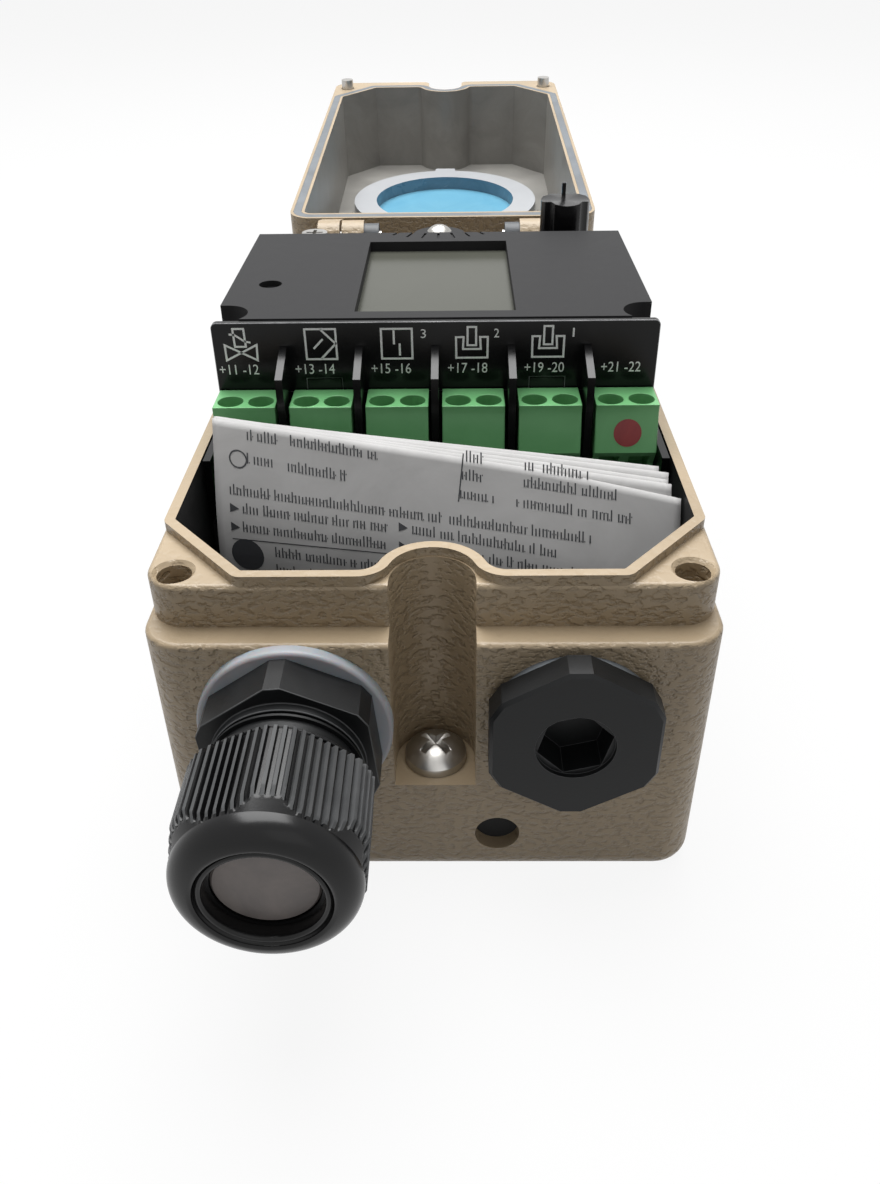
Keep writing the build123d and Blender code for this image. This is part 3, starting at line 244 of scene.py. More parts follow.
fine = add(coat_group, "ShaderNodeTexNoise", scale=1700.0, detail=2.0)
coat_group.links.new(given.outputs["Place"], fine.inputs["Vector"])
fine_part = math_node(coat_group, "MULTIPLY", fine.outputs[0], 0.18)
height = math_node(coat_group, "ADD", ramp.outputs[0], fine_part)
coat_group.links.new(math_node(coat_group, "MULTIPLY", height, strength), result.inputs["Height"])
cloud = add(coat_group, "ShaderNodeTexNoise", scale=30.0, detail=2.0)
coat_group.links.new(given.outputs["Place"], cloud.inputs["Vector"])
broad = math_node(coat_group, "MULTIPLY_ADD", cloud.outputs[0], 0.3, 0.22)
# Painted shade: the low spots between the lumps get the darker colour, most on upright walls; the broad cloud is
# the coat's own uneven tone
below_crest = math_node(coat_group, "SUBTRACT", ramp.outputs[0], 1.0)
pit_shade = math_node(coat_group, "MULTIPLY", below_crest, strength)
pit_shade = math_node(coat_group, "MULTIPLY_ADD", pit_shade, 0.09, 0.15)
coat_group.links.new(math_node(coat_group, "ADD", broad, pit_shade), result.inputs["Tone and Pit Shade"])

# %% Moulded grain
grain_group, given, result = new_group(
    "moulded_grain",
    [("Place", VECTOR, None), ("Grains per Metre", NUMBER, 4200.0)],
    [("Height", NUMBER), ("Handling", NUMBER)],
)
grain = add(grain_group, "ShaderNodeTexNoise", detail=3.0, roughness=0.6)
grain_group.links.new(given.outputs["Place"], grain.inputs["Vector"])
grain_group.links.new(given.outputs["Grains per Metre"], grain.inputs["Scale"])
grain_group.links.new(grain.outputs[0], result.inputs["Height"])
smear = add(grain_group, "ShaderNodeTexNoise", scale=60.0, detail=4.0, roughness=0.65,
            distortion=1.2)
grain_group.links.new(given.outputs["Place"], smear.inputs["Vector"])
grain_group.links.new(smear.outputs[0], result.inputs["Handling"])

# %% [markdown]
# ## Finishes
# Each finish is a Principled shader with its own plain numbers: two colours as seen on a
# screen, a range of roughness, lumps per metre and the height of the bump in millimetres.
# The groups only feed what changes over the surface: colour, roughness and the bump that
# bends the normal.
# %% Material maker
def linear(red, green, blue):
    """Colour of a screen value from 0 to 255, as the light-linear number that shaders use."""
    value = np.array([red, green, blue]) / 255.0
    value = np.where(value <= 0.04045, value / 12.92, ((value + 0.055) / 1.055) ** 2.4)
    return (*value.tolist(), 1.0)


def finish(name, dark, light, rough=(0.4, 0.5), group=grain_group, rate=None, bump=0.02,
           **plain):
    """Principled material between two screen colours, with grain and bump from a shared group."""
    material = bpy.data.materials.new(name)
    material.use_nodes = True
    tree = material.node_tree
    tree.nodes.clear()
    out = add(tree, "ShaderNodeOutputMaterial")
    shader = add(tree, "ShaderNodeBsdfPrincipled")
    tree.links.new(shader.outputs[0], out.inputs[0])
    for label, value in plain.items():
        shader.inputs[label.replace("_", " ").title().replace("Ior", "IOR")].default_value = value
    place = add(tree, "ShaderNodeTexCoord")
    effect = add(tree, "ShaderNodeGroup", node_tree=group)
    tree.links.new(place.outputs["Object"], effect.inputs["Place"])
    if rate:
        effect.inputs[1].default_value = rate
    mask = add(tree, "ShaderNodeMapRange")
    mask.inputs["From Min"].default_value = 0.3
    mask.inputs["From Max"].default_value = 0.7
    tree.links.new(effect.outputs[1], mask.inputs["Value"])
    mix = add(tree, "ShaderNodeMix", data_type="RGBA")
    mix.inputs["A"].default_value = linear(*dark)
    mix.inputs["B"].default_value = linear(*light)
    tree.links.new(mask.outputs[0], mix.inputs["Factor"])
    colour = [s for s in mix.outputs if s.type == "RGBA"][0]
    tree.links.new(colour, shader.inputs["Base Color"])
    gloss = add(tree, "ShaderNodeMapRange")
    gloss.inputs["To Min"].default_value, gloss.inputs["To Max"].default_value = rough
    tree.links.new(mask.outputs[0], gloss.inputs["Value"])
    tree.links.new(gloss.outputs[0], shader.inputs["Roughness"])
    bumps = add(tree, "ShaderNodeBump", strength=1.0, distance=bump * mm)
    tree.links.new(effect.outputs["Height"], bumps.inputs["Height"])
    tree.links.new(bumps.outputs[0], shader.inputs["Normal"])
    return material

# %% Finishes of the pieces
# The coat's darker colour gathers in the low spots of its lumps as painted shade
paint = finish("beige_powder_coat", (134, 118, 95), (180, 161, 133), (0.32, 0.42), coat_group,
               1000.0, bump=0.22, specular_ior_level=0.45)
bare_inside = finish("thin_coat_inside", (124, 122, 118), (140, 138, 133), (0.34, 0.5),
                     rate=900.0, bump=0.04)
# Near black inside the housing's well and down the vent bore: painted shade
painted_shade_inside = finish("near_black_painted_shade", (22, 22, 23), (34, 34, 34), (0.4, 0.55), bump=0.03,
                     specular_ior_level=0.2)
black = finish("black_polyamide", (13, 14, 15), (21, 22, 23), (0.36, 0.5), rate=2600.0,
               bump=0.015, specular_ior_level=0.25)
black_gloss = finish("polished_black", (7, 7, 8), (12, 12, 13), (0.2, 0.28), bump=0.004,
                     specular_ior_level=0.3)
# Lighter grey on the nut's rib crests and on the bevelled edges of the gland body and plug: painted highlight
ribs = finish("painted_highlight_grey", (58, 59, 60), (74, 75, 76), (0.5, 0.62), rate=3000.0, bump=0.02,
              specular_ior_level=0.3)
charcoal = finish("matte_charcoal", (37, 37, 38), (43, 43, 44), (0.5, 0.6), rate=3600.0,
                  bump=0.018, specular_ior_level=0.1)
green = finish("green_terminal", (104, 169, 110), (114, 179, 120), (0.3, 0.4), bump=0.01)
white_ring = finish("white_ring_plastic", (158, 160, 163), (164, 166, 169), (0.3, 0.36),
                    bump=0.001)
# Blue-grey for the white ring's throat: painted shade and painted reflection of the window
ring_throat_shade = finish("ring_throat_painted_shade", (84, 112, 130), (104, 134, 152), (0.2, 0.3),
                     bump=0.006)
nylon = finish("grey_nylon_washer", (146, 151, 157), (164, 168, 173), (0.34, 0.48), bump=0.008,
               subsurface_weight=0.35, subsurface_scale=0.003)
disc_brown = finish("dust_disc_plastic", (104, 98, 96), (138, 130, 126), (0.42, 0.56), bump=0.01)
steel = finish("bright_zinc_steel", (168, 166, 162), (196, 194, 190), (0.24, 0.36), bump=0.006,
               metallic=1.0)
cast = finish("bare_cast_metal", (150, 150, 148), (170, 170, 168), (0.45, 0.6), bump=0.04,
              metallic=1.0)
brass = finish("turned_brass", (180, 150, 92), (200, 170, 108), (0.3, 0.4), metallic=1.0)
rubber = finish("grey_rubber", (88, 93, 98), (108, 113, 118), (0.45, 0.6), bump=0.02)
dark_collar = finish("dark_collar", (44, 47, 50), (78, 82, 86), (0.4, 0.55), bump=0.03)
board_green = finish("board_green", (14, 70, 40), (20, 84, 50), (0.3, 0.4))
lcd = finish("display_grey", (74, 75, 68), (76, 77, 70), (0.2, 0.24), bump=0.0002,
             specular_ior_level=0.15)
label_black = finish("label_black", (10, 11, 12), (15, 16, 17), (0.16, 0.22), bump=0.001,
                     specular_ior_level=0.22)
paper = finish("leaflet_paper", (184, 183, 182), (198, 197, 196), (0.7, 0.8), rate=400.0,
               bump=0.03)
white_print = finish("white_print", (244, 245, 244), (250, 251, 250), (0.4, 0.5), bump=0.002)
grey_print = finish("dark_print", (52, 53, 56), (70, 71, 74), (0.6, 0.7), bump=0.002)
red_stamp = finish("red_brown_stamp", (112, 30, 34), (142, 52, 52), (0.4, 0.5), bump=0.004)
# Pale grey on the label's bevelled top edge: painted highlight
label_edge_highlight = finish("painted_highlight_label_edge", (60, 60, 62), (150, 150, 152), (0.35, 0.5), bump=0.01)
glass = finish("pale_blue_glass", (104, 163, 190), (114, 173, 198), (0.1, 0.16), bump=0.001,
               transmission_weight=0.12, ior=1.45)

# %% [markdown]
# ## Dressing the solids
# A solid whose shape is right only needs a finish. The ones with rounded faces get a
# joined copy that shades smoothly. The cover has one finish outside and a thinner one
# inside; the housing's inside faces get a near-black painted shade. Both are chosen face by
# face from where each face lies.
# %% Finishes on the flat solids
plain_finish = {
    "black_plastic": black, "gloss_plastic": black_gloss, "dark_plastic": charcoal,
    "housing_paint": paint, "pale_plastic": white_ring, "green_plastic": green,
    "washer_plastic": nylon, "disc_plastic": disc_brown, "label_plastic": label_black,
    "display_glass": lcd, "window_glass": glass, "cast_metal": cast, "brass": brass,
    "steel": steel, "rubber": rubber, "board": board_green, "paper": paper,
}
for node, solid in nodes.items():
    solid.data.materials.clear()
    solid.data.materials.append(plain_finish[slot_of[node]])
nodes["hinge_collars"].data.materials[0] = dark_collar
nodes["terminal_carrier"].data.materials[0] = black_gloss

# %% Smooth skins
rounded = ["gland_dust_disc", "gland_washer", "plug_seal", "rotary_knob", "window_glass",
           "cover_screw_left", "cover_screw_right", "hinge_collars", "pointer_screw",
           "travel_pointer", "feedback_shaft", "module_base"]
for node in rounded:
    smooth_skin(node, nodes[node].data.materials[0])
smooth_skin("electronics_cover", charcoal, 8.0, weighted=False)
# The bevelled edges of the gland body, plug and label get a lighter grey: painted highlight
smooth_skin("gland_body", black, 18.0, 0.15 * mm, ribs)
smooth_skin("blanking_plug", black, 25.0, 0.3 * mm, ribs)
smooth_skin("terminal_label", label_black, 25.0, 0.14 * mm, label_edge_highlight)
for number in range(1, 7):
    smooth_skin(f"terminal_block_{number}", green, 25.0, 0.22 * mm)


def centres(mesh):
    """Middle and normal of every face, as arrays."""
    middle = np.empty(len(mesh.polygons) * 3)
    normal = np.empty(len(mesh.polygons) * 3)
    mesh.polygons.foreach_get("center", middle)
    mesh.polygons.foreach_get("normal", normal)
    return middle.reshape(-1, 3), normal.reshape(-1, 3)


def second_finish(skin, material, chosen):
    """Gives the chosen faces of a skin a further finish."""
    skin.data.materials.append(material)
    slots = np.empty(len(skin.data.polygons), dtype=np.int32)
    skin.data.polygons.foreach_get("material_index", slots)
    slots[chosen] = len(skin.data.materials) - 1
    skin.data.polygons.foreach_set("material_index", slots)
    print(skin.name, material.name, "on", int(chosen.sum()), "of", len(slots), "faces")

# %% Inside of the housing, in painted shade
# The well has straight sides, two cut corners in front, and a round swelling at the channel
corner_x, corner_y, corner_normal_x, corner_normal_y = 40.4, -59.3, -0.755, 0.655
channel_y = -69.3


def inside_walls(place, half_width, depth, height, corner_gap, swelling):
    """True for places in millimetres that lie inside the walls, cut corners and swelling."""
    x, y, z = np.abs(place[:, 0]), place[:, 1], place[:, 2]
    within = (x < half_width) & (z > height[0]) & (z < height[1])
    within &= (y > depth[0]) & (y < depth[1])
    from_corner = (x - corner_x) * corner_normal_x + (y - corner_y) * corner_normal_y
    return within & (from_corner >= corner_gap) & (np.hypot(x, y - channel_y) > swelling)


housing = smooth_skin("housing", paint)
middle, normal = centres(housing.data)
place = middle / mm
lip_foot_z, front_wall_y = 53.1, -68
on_lip = place[:, 2] > lip_foot_z
within = inside_walls(place, 38.66, (-68.9, 72.66), (14.9, 54.6),
                      corner_gap=np.where(on_lip, 4.2, 1.72), swelling=np.where(on_lip, 9.4, 7.8))
within &= ~((place[:, 1] < front_wall_y) & (normal[:, 1] < 0.5))
# The faces inside the well are near black: painted shade
second_finish(housing, painted_shade_inside, within)

# %% Inside of the cover
# The cover swung back about its hinge line gives its faces' places when shut
hinge = next(joint for joint in frame["joints"] if joint["name"] == "cover_hinge")
hinge_point = np.array(hinge["pos_m"])
shut_angle = math.radians(hinge["range_deg"][1])
swing = np.array(Matrix.Rotation(shut_angle, 3, "X"))
cover = smooth_skin("cover", paint)
middle, normal = centres(cover.data)
shut = ((middle - hinge_point) @ swing.T + hinge_point) / mm
within = inside_walls(shut, 37.3, (-71.3, 71.3), (55.1, 83.1), corner_gap=3.0, swelling=9.0)
second_finish(cover, bare_inside, within)

# %% Window ring
# White on its broad face; the throat is blue-grey as painted shade and a painted reflection of the blue window
ring = smooth_skin("window_ring", white_ring)
middle, normal = centres(ring.data)
ring_axis = np.array(Matrix.Rotation(-shut_angle, 3, "X")) @ np.array([0.0, 0.0, 1.0])
ring_middle = np.array(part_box("window_ring")).mean(axis=0)
spoke = middle - ring_middle
spoke -= np.outer(spoke @ ring_axis, ring_axis)
reach = np.linalg.norm(spoke, axis=1)
toward = (normal * spoke).sum(axis=1) / np.maximum(reach, 1e-9)
throat_reach = 28.5 * mm
second_finish(ring, ring_throat_shade, (toward < -0.5) & (reach < throat_reach))

# %% [markdown]
# ## Gland nut
# The dome nut of a cable gland is a hexagon with fine ribs that a hand can grip; a cone
# trims the ribs towards the front, where the nut turns into a round, polished dome. All
# of it is one surface: the distance from the axis over the angle and over a closed path
# that runs along the outside, over the dome, into the mouth and back through the bore.
# %% Gland nut surface
def line_rows(*corners, rows=2):
    """Points along straight lines between corners, a few on each line."""
    corners = np.array(corners, dtype=float)
    share = np.linspace(0, 1, rows, endpoint=False)[None, :, None]
    return (corners[:-1, None] * (1 - share) + corners[1:, None] * share).reshape(-1, 2)


def arc_rows(first, middle, last, rows):
    """Points on the circle through three points, from the first to the last."""
    (ax, ay), (bx, by), (cx, cy) = first, middle, last
    matrix = 2 * np.array([[bx - ax, by - ay], [cx - ax, cy - ay]])
    squares = [bx**2 - ax**2 + by**2 - ay**2, cx**2 - ax**2 + cy**2 - ay**2]
    centre = np.linalg.solve(matrix, squares)
    radius = math.hypot(ax - centre[0], ay - centre[1])
    begin = math.atan2(ay - centre[1], ax - centre[0])
    swept = math.atan2(cy - centre[1], cx - centre[0]) - begin
    swept = (swept + math.pi) % math.tau - math.pi
    turns = begin + np.linspace(0, 1, rows) * swept
    return centre + radius * np.column_stack([np.cos(turns), np.sin(turns)])


nut_axis_x, nut_axis_z, nut_rear = -20.0, 32.3, -85.2
nut_turn, rib_count, rib_rise, rib_floor = math.radians(5.0), 66, 0.65, 12.55
flat_reach, corner_reach, ribs_end, bore_reach = 12.2, 13.2, 18.35, 11.0
cone_start, cone_slope = 17.0, 0.35
nut_path = np.vstack([
    line_rows((4.4, 9.55), (4.4, 12.5), (4.8, 13.2)),
    line_rows((4.8, 13.2), (15.0, 13.2), rows=6),
    line_rows((15.0, 13.2), (18.3, 11.7), rows=20),
    arc_rows((18.4, 12.1), (20.9, 11.0), (21.8, 8.9), 18),
    line_rows((21.6, 8.6), (21.1, 8.5), rows=2),
    arc_rows((21.1, 8.3), (21.45, 7.9), (21.1, 7.45), 8),
    line_rows((20.6, 7.3), (19.25, 7.2), (19.25, 6.95), (11.0, 6.95), (11.0, 9.55)),
])
neck_path = np.vstack([
    line_rows((0.0, 7.0), (0.0, 10.8), (0.4, 10.8), (0.4, 10.2), (3.3, 10.2), (3.3, 11.3)),
    arc_rows((3.3, 11.4), (3.6, 11.7), (4.0, 11.4), 7),
    line_rows((4.0, 11.2), (4.38, 7.0)),
])


def turned_surface(name, path, shape=None, sides=528):
    """Closed surface round the gland's axis; shape may change the distance from the axis."""
    turn_grid = np.arange(sides) * math.tau / sides
    angle, row = np.meshgrid(turn_grid, np.arange(len(path)))
    along, radius = path[row, 0], path[row, 1]
    if shape:
        radius = shape(angle, along, radius)
    sideways, upward = radius * np.cos(angle), radius * np.sin(angle)
    places = [nut_axis_x + sideways, nut_rear - along, nut_axis_z + upward]
    piece = grid_mesh(name, np.stack(places, axis=-1) * mm, wrap_u=True, wrap_v=True)
    face_outward(piece.data)
    return piece, angle, along, radius


def hexagon(angle):
    """Reach of the nut's hexagon, whose corners a circle cuts off."""
    from_flat = np.mod(angle + nut_turn + math.pi / 6, math.pi / 3) - math.pi / 6
    return np.minimum(flat_reach / np.cos(from_flat), corner_reach)


def ribbed(angle, along, lathe):
    """Ribs stand proud of the hexagon's ground until the cone at the front reaches them."""
    rib = np.clip((np.cos(rib_count * (angle + nut_turn)) + 0.1) * 4.0, 0.0, 1.0)
    ground = rib_floor - cone_slope * np.maximum(along - cone_start, 0.0)
    ground = np.minimum(hexagon(angle) - rib_rise, ground)
    crest = np.minimum(lathe, hexagon(angle))
    with_ribs = np.minimum(lathe, ground) + np.clip(crest - ground, 0, 1) * rib
    return np.where((along < ribs_end) & (lathe > bore_reach), with_ribs, lathe)


gland_nut, angle, along, reach = turned_surface("gland_nut_ribbed", nut_path, ribbed)
dress(gland_nut, "gland_nut_body", black_gloss, ["gland_nut"])
gland_nut.data.set_sharp_from_angle(angle=math.radians(42))
# Rib crests within this stretch get the lighter grey as painted highlight
proud = reach - np.minimum(hexagon(angle) - rib_rise, rib_floor)
crest_highlight_from, crest_highlight_to = 4.5, 17.6
crest = (proud > 0.1) & (along > crest_highlight_from) & (along < crest_highlight_to)
gland_nut.data.materials.append(ribs)
gland_nut.data.polygons.foreach_set("material_index", crest.ravel().astype(np.int32))
print("gland nut faces", len(gland_nut.data.polygons), "on rib crests", int(crest.sum()))
neck = turned_surface("gland_neck", neck_path, sides=96)[0]
dress(neck, body_of["gland_body"], black)
neck.data.set_sharp_from_angle(angle=math.radians(35))

# %% Fixing screw
# A domed head with a wide cross recess, deepest in the middle and fading out along its arms
low, high = np.array(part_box("fixing_screw")) / mm
head_radius, head_height, head_side, shank_radius = 4.75, 3.6, 1.44, 2.5
arm_half_width, arm_reach, arm_slope, arm_depth = 0.55, 2.9, 2.0, 1.5
arc_rise = head_height - head_side
arc_radius = (head_radius**2 + arc_rise**2) / (2 * arc_rise)
dome_reach = np.append(np.linspace(0.0, 3.2, 40), np.linspace(3.4, head_radius, 8))
dome_height = head_height - arc_radius + np.sqrt(arc_radius**2 - dome_reach**2)
screw_end = low[2] - high[2] + head_height
reach = np.append(dome_reach, [head_radius, shank_radius, shank_radius, 0.0])
height = np.append(dome_height, [0.0, 0.0, screw_end, screw_end])
angle, row = np.meshgrid(np.arange(240) * math.tau / 240, np.arange(len(reach)))
diagonal = angle + math.pi / 4
from_arm = reach[row] * np.minimum(np.abs(np.cos(diagonal)), np.abs(np.sin(diagonal)))
within_arm = np.clip((arm_half_width - from_arm) / 0.1 + 0.5, 0.0, 1.0)
recess = within_arm * np.clip(arm_slope * (1 - reach[row] / arm_reach), 0.0, arm_depth)
recess = np.where(row < len(dome_reach), recess, 0.0)
middle = (low + high) / 2
places = [middle[0] + reach[row] * np.cos(angle), middle[1] + reach[row] * np.sin(angle),
          high[2] - head_height + height[row] - recess]
screw = grid_mesh("fixing_screw_head", np.stack(places, axis=-1) * mm, wrap_v=True)
face_outward(screw.data, join=1e-6)
dress(screw, body_of["fixing_screw"], steel, ["fixing_screw"])
screw.data.set_sharp_from_angle(angle=math.radians(38))

# %% Vent bore shade
# A dark, slightly hollow disc a little way inside the vent bore: painted shade for the bore's dark depth
vent_x, vent_z, screen_y, screen_reach, screen_hollow = 9.6, 8.8, -72.6, 3.45, 0.5
turns, spokes = np.arange(48) * math.tau / 48, np.linspace(0.01, screen_reach, 12)
angle, spoke = np.meshgrid(turns, spokes)
sunk = screen_y + screen_hollow * (1 - (spoke / screen_reach) ** 2)
places = [vent_x + spoke * np.cos(angle), sunk, vent_z + spoke * np.sin(angle)]
screen = grid_mesh("vent_bore_shade", np.stack(places, axis=-1) * mm, wrap_v=True)
dress(screen, "housing_body", painted_shade_inside)
print("vent screen", len(screen.data.polygons), "faces")

# %% [markdown]
# ## Print on the terminal label
# The black label carries thin white outlines above each pair of terminals and a plain
# running number for every contact. Each outline is a ribbon: the line's corner points are
# pushed half a line width to both sides, along the mitre of the two edges that meet there.
# %% Outline symbols
label_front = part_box("terminal_label")[0][1] / mm - 0.025


def ribbon(corners, width, closed=True):
    """Flat band along a line in the label's plane; each corner is offset along its mitre."""
    corners = np.array(corners, dtype=float)
    ahead = np.roll(corners, -1, axis=0) - corners
    ahead /= np.linalg.norm(ahead, axis=1, keepdims=True)
    behind = np.roll(ahead, 1, axis=0)
    if not closed:
        behind[0], ahead[-1] = ahead[0], behind[-1]
    normal_ahead = np.column_stack([-ahead[:, 1], ahead[:, 0]])
    normal_behind = np.column_stack([-behind[:, 1], behind[:, 0]])
    mitre = normal_ahead + normal_behind
    mitre /= np.maximum((mitre * normal_ahead).sum(axis=1, keepdims=True), 0.45)
    count = len(corners)
    flat = np.vstack([corners + mitre * width / 2, corners - mitre * width / 2])
    first = np.arange(count if closed else count - 1)
    after = (first + 1) % count
    return flat, np.column_stack([first, first + count, after + count, after])


def printed(name, shapes, lay, material, body="housing_body", facing=1):
    """One mesh from several flat shapes, all faced one way; lay turns their points into places."""
    flats, faces, count = [], [], 0
    for flat, quads in shapes:
        first, second, third = (flat[quads[:, corner]] for corner in range(3))
        edge, side = second - first, third - first
        area = edge[:, 0] * side[:, 1] - edge[:, 1] * side[:, 0]
        quads = np.where((area * facing < 0)[:, None], quads[:, ::-1], quads)
        quads = quads[np.abs(area) > 1e-6]
        flats.append(flat)
        faces.append(quads + count)
        count += len(flat)
    mesh = bpy.data.meshes.new(name)
    mesh.from_pydata(lay(np.vstack(flats)).tolist(), [], np.vstack(faces).tolist())
    piece = bpy.data.objects.new(name, mesh)
    scene.collection.objects.link(piece)
    dress(piece, body, material)
    return piece


def on_label(flat):
    """Across and up on the label's face, as a place."""
    return np.column_stack([flat[:, 0], np.full(len(flat), label_front), flat[:, 1]]) * mm


line_width = 0.34
bow_tie = [(-34.8, 69.9), (-29.6, 67.25), (-29.5, 69.9), (-34.75, 67.25)]
actuator = [(-33.2, 72.65), (-31.4, 72.65), (-31.3, 69.6), (-33.1, 69.6)]
stroke = [(-33.9, 71.75), (-32.95, 71.6), (-31.4, 70.5), (-30.45, 70.3)]
converter = [(-21.4, 72.5), (-16.35, 72.5), (-16.3, 67.35), (-21.35, 67.35)]
contact_box = [(-8.85, 72.45), (-3.78, 72.45), (-3.78, 67.35), (-8.85, 67.35)]
arrow_head = [(-18.8, 72.45), (-16.4, 70.0), (-18.9, 67.45)]
arrow_tail = [(-20.1, 69.15), (-18.5, 70.8)]
upper_contact, lower_contact = [(-6.77, 72.2), (-6.77, 69.8)], [(-5.84, 69.95), (-5.84, 67.85)]
fork = np.array([(-2.6, -0.7), (-1.35, -0.7), (-1.45, -2.75), (1.5, -2.75),
                 (1.35, -0.7), (2.62, -0.7), (2.6, -4.25), (-2.55, -4.25)])
tag = np.array([(-0.7, 1.0), (0.7, 1.0), (0.7, -2.1), (-0.7, -2.1)])
closed_lines = [bow_tie, actuator, converter, contact_box]
open_lines = [stroke, arrow_head, arrow_tail, upper_contact, lower_contact]
symbols = [ribbon(shape, line_width) for shape in closed_lines]
symbols += [ribbon(shape, line_width, closed=False) for shape in open_lines]
for place in ([6.05, 71.65], [18.6, 71.7]):
    symbols += [ribbon(shape + place, line_width) for shape in (fork, tag)]
symbol_print = printed("label_symbols", symbols, on_label, white_print)
print("label symbols", len(symbols), "ribbons,", len(symbol_print.data.polygons), "faces")

# %% Contact numbers
def numeral(label, place_x, low_z, width, height):
    """Flat mesh of a number, stretched to fill a box on the label's face."""
    curve = bpy.data.curves.new("numeral", "FONT")
    curve.body, curve.resolution_u = label, 3
    holder = bpy.data.objects.new("numeral", curve)
    mesh = bpy.data.meshes.new_from_object(holder)
    bpy.data.objects.remove(holder)
    flat = np.empty(len(mesh.vertices) * 3)
    mesh.vertices.foreach_get("co", flat)
    flat = flat.reshape(-1, 3)[:, :2]
    low, high = flat.min(axis=0), flat.max(axis=0)
    unit_box = (flat - (low + high) / 2) / (high - low)
    placed = unit_box * [width, height] + [place_x, low_z + height / 2]
    triangles = np.array([list(face.vertices) for face in mesh.polygons])
    bpy.data.meshes.remove(mesh)
    return placed, triangles


# Each caption has its text, its middle and its foot on the label, its width and its height
block_pitch = 12.76
captions = [
    (f"+{11 + 2 * i} -{12 + 2 * i}", -32.9 + block_pitch * i, 64.75, 6.6, 1.75) for i in range(6)
]
captions += [
    ("3", -1.9, 70.85, 0.85, 1.5), ("2", 10.1, 70.85, 0.85, 1.5), ("1", 22.7, 70.85, 0.3, 1.5)
]
figures = [numeral(*caption) for caption in captions]
numbers = printed("label_numbers", figures, on_label, white_print)
print("label numbers", len(captions), "captions,", len(numbers.data.polygons), "faces")

# %% [markdown]
# ## Folded leaflet
# A folded sheet of thin paper stands in the wiring space and leans back on the terminals.
# Its pages fan out a little, so several pale edges show along the top. Every page is the
# same bent surface, moved back by its place in the stack, with its own wavy upper edge.
# %% Pages
page_head = np.array([-35.8, -35.3, 62.0])
page_run = np.array([72.6, -11.1, -7.5])
page_lean, bend_start, bend_radius, page_length = math.radians(25.0), 12.33, 40.0, 41.0
page_gap, page_thickness = 0.34, 0.12


def page_place(across, down, back=0.0):
    """Place on the bent sheet: straight at first, then a circular bend, then upright."""
    turned = np.clip(page_lean - (down - bend_start) / bend_radius, 0.0, page_lean)
    straight = np.minimum(down, bend_start)
    forward_part = straight * math.sin(page_lean)
    forward_part = forward_part + bend_radius * (np.cos(turned) - math.cos(page_lean))
    drop = straight * math.cos(page_lean) + bend_radius * (math.sin(page_lean) - np.sin(turned))
    drop = drop + np.maximum(down - bend_start - bend_radius * page_lean, 0.0)
    ripple = 0.22 * np.sin(5.2 * across + 0.9) * np.exp(-down / 14.0)
    rearward = back * np.cos(turned) - forward_part - ripple
    higher = -drop - back * np.sin(turned)
    place = page_head + across[..., None] * page_run
    return place + np.stack([0 * across, rearward, higher], axis=-1)


def page(name, number, left, right, edge):
    """Grid of the page's surface; edge gives how far its top lies below the fold's line."""
    across = np.linspace(left, right, 60)
    share = np.linspace(0, 1, 34)
    u, v = np.meshgrid(across, share, indexing="ij")
    down = edge(u) + v * (page_length - edge(u))
    piece = grid_mesh(name, page_place(u, down, page_gap * number) * mm, with_uv=True)
    sheet = piece.modifiers.new("thickness", "SOLIDIFY")
    sheet.thickness, sheet.offset = page_thickness * mm, 0.0
    dress(piece, "housing_body", paper, ["leaflet"])


# Left and right end of each page, and how far its upper edge lies below the fold's line
page_edges = [
    (0.0, 1.02, lambda u: 0.25 * u + 1.2 * np.clip(u - 0.72, 0, 1) ** 1.2 * 3.2),
    (0.003, 1.0, lambda u: -0.35 - 0.5 * u + 0.3 * np.sin(3 * u)),
    (0.0, 0.993, lambda u: -0.1 - 1.3 * u),
    (0.005, 0.995, lambda u: -0.4 - 2.1 * u**1.3),
    (0.002, 0.975, lambda u: -0.3 - 3.0 * u**1.2),
]
for number, outline in enumerate(page_edges):
    page(f"leaflet_page_{number + 1}", number, *outline)
corner = page_place(np.array(1.02), np.array(1.5))
print("leaflet pages", len(page_edges), "top right corner", np.round(corner, 1))

# %% Rows of print
# Upright strokes and dots at the spacing of small type: grey rows from afar, no letters
chance = np.random.default_rng(4)


def word_row(left, right, down, rise, height=1.3):
    """Strokes of two heights with a dot here and there between them, in groups like words."""
    pitch, stroke = 0.0078, 0.0031
    starts = np.arange(left, right - pitch, pitch)
    words = np.cumsum(chance.random(len(starts)) < 0.12)
    starts = starts[np.append(np.diff(words) == 0, True)]
    low = down + rise * starts
    tall = height * chance.choice([0.9, 1.0, 1.35], len(starts), p=[0.3, 0.45, 0.25])
    dotted = chance.random(len(starts)) < 0.62
    spot = low - height * chance.choice([0.95, 0.6, 0.22], len(starts))
    strokes = np.stack([starts, low - tall, starts + stroke, low])
    dots = np.stack([starts + 0.58 * pitch, spot, starts + 0.84 * pitch, spot + 0.22])
    x0, y0, x1, y1 = np.hstack([strokes, dots[:, dotted]])
    corners = np.stack([x0, y1, x1, y1, x1, y0, x0, y0], axis=-1).reshape(-1, 2)
    return corners, np.arange(len(corners)).reshape(-1, 4)


def on_page(flat):
    """Share across and millimetres down on the front page, just proud of it."""
    return page_place(flat[:, 0], flat[:, 1], -0.1) * mm


def rings(middle, radii, sides, stretch=1.0):
    """Flat rings between circles round one middle, with their width stretched by a factor."""
    turns = np.arange(sides) * math.tau / sides
    spoke = np.column_stack([np.cos(turns) * stretch, np.sin(turns)])
    flat = np.vstack([spoke * radius for radius in radii]) + middle
    first = np.arange(sides)
    after = (first + 1) % sides
    quads = np.column_stack([first, after, after + sides, first + sides])
    return flat, np.vstack([quads + sides * step for step in range(len(radii) - 1)])


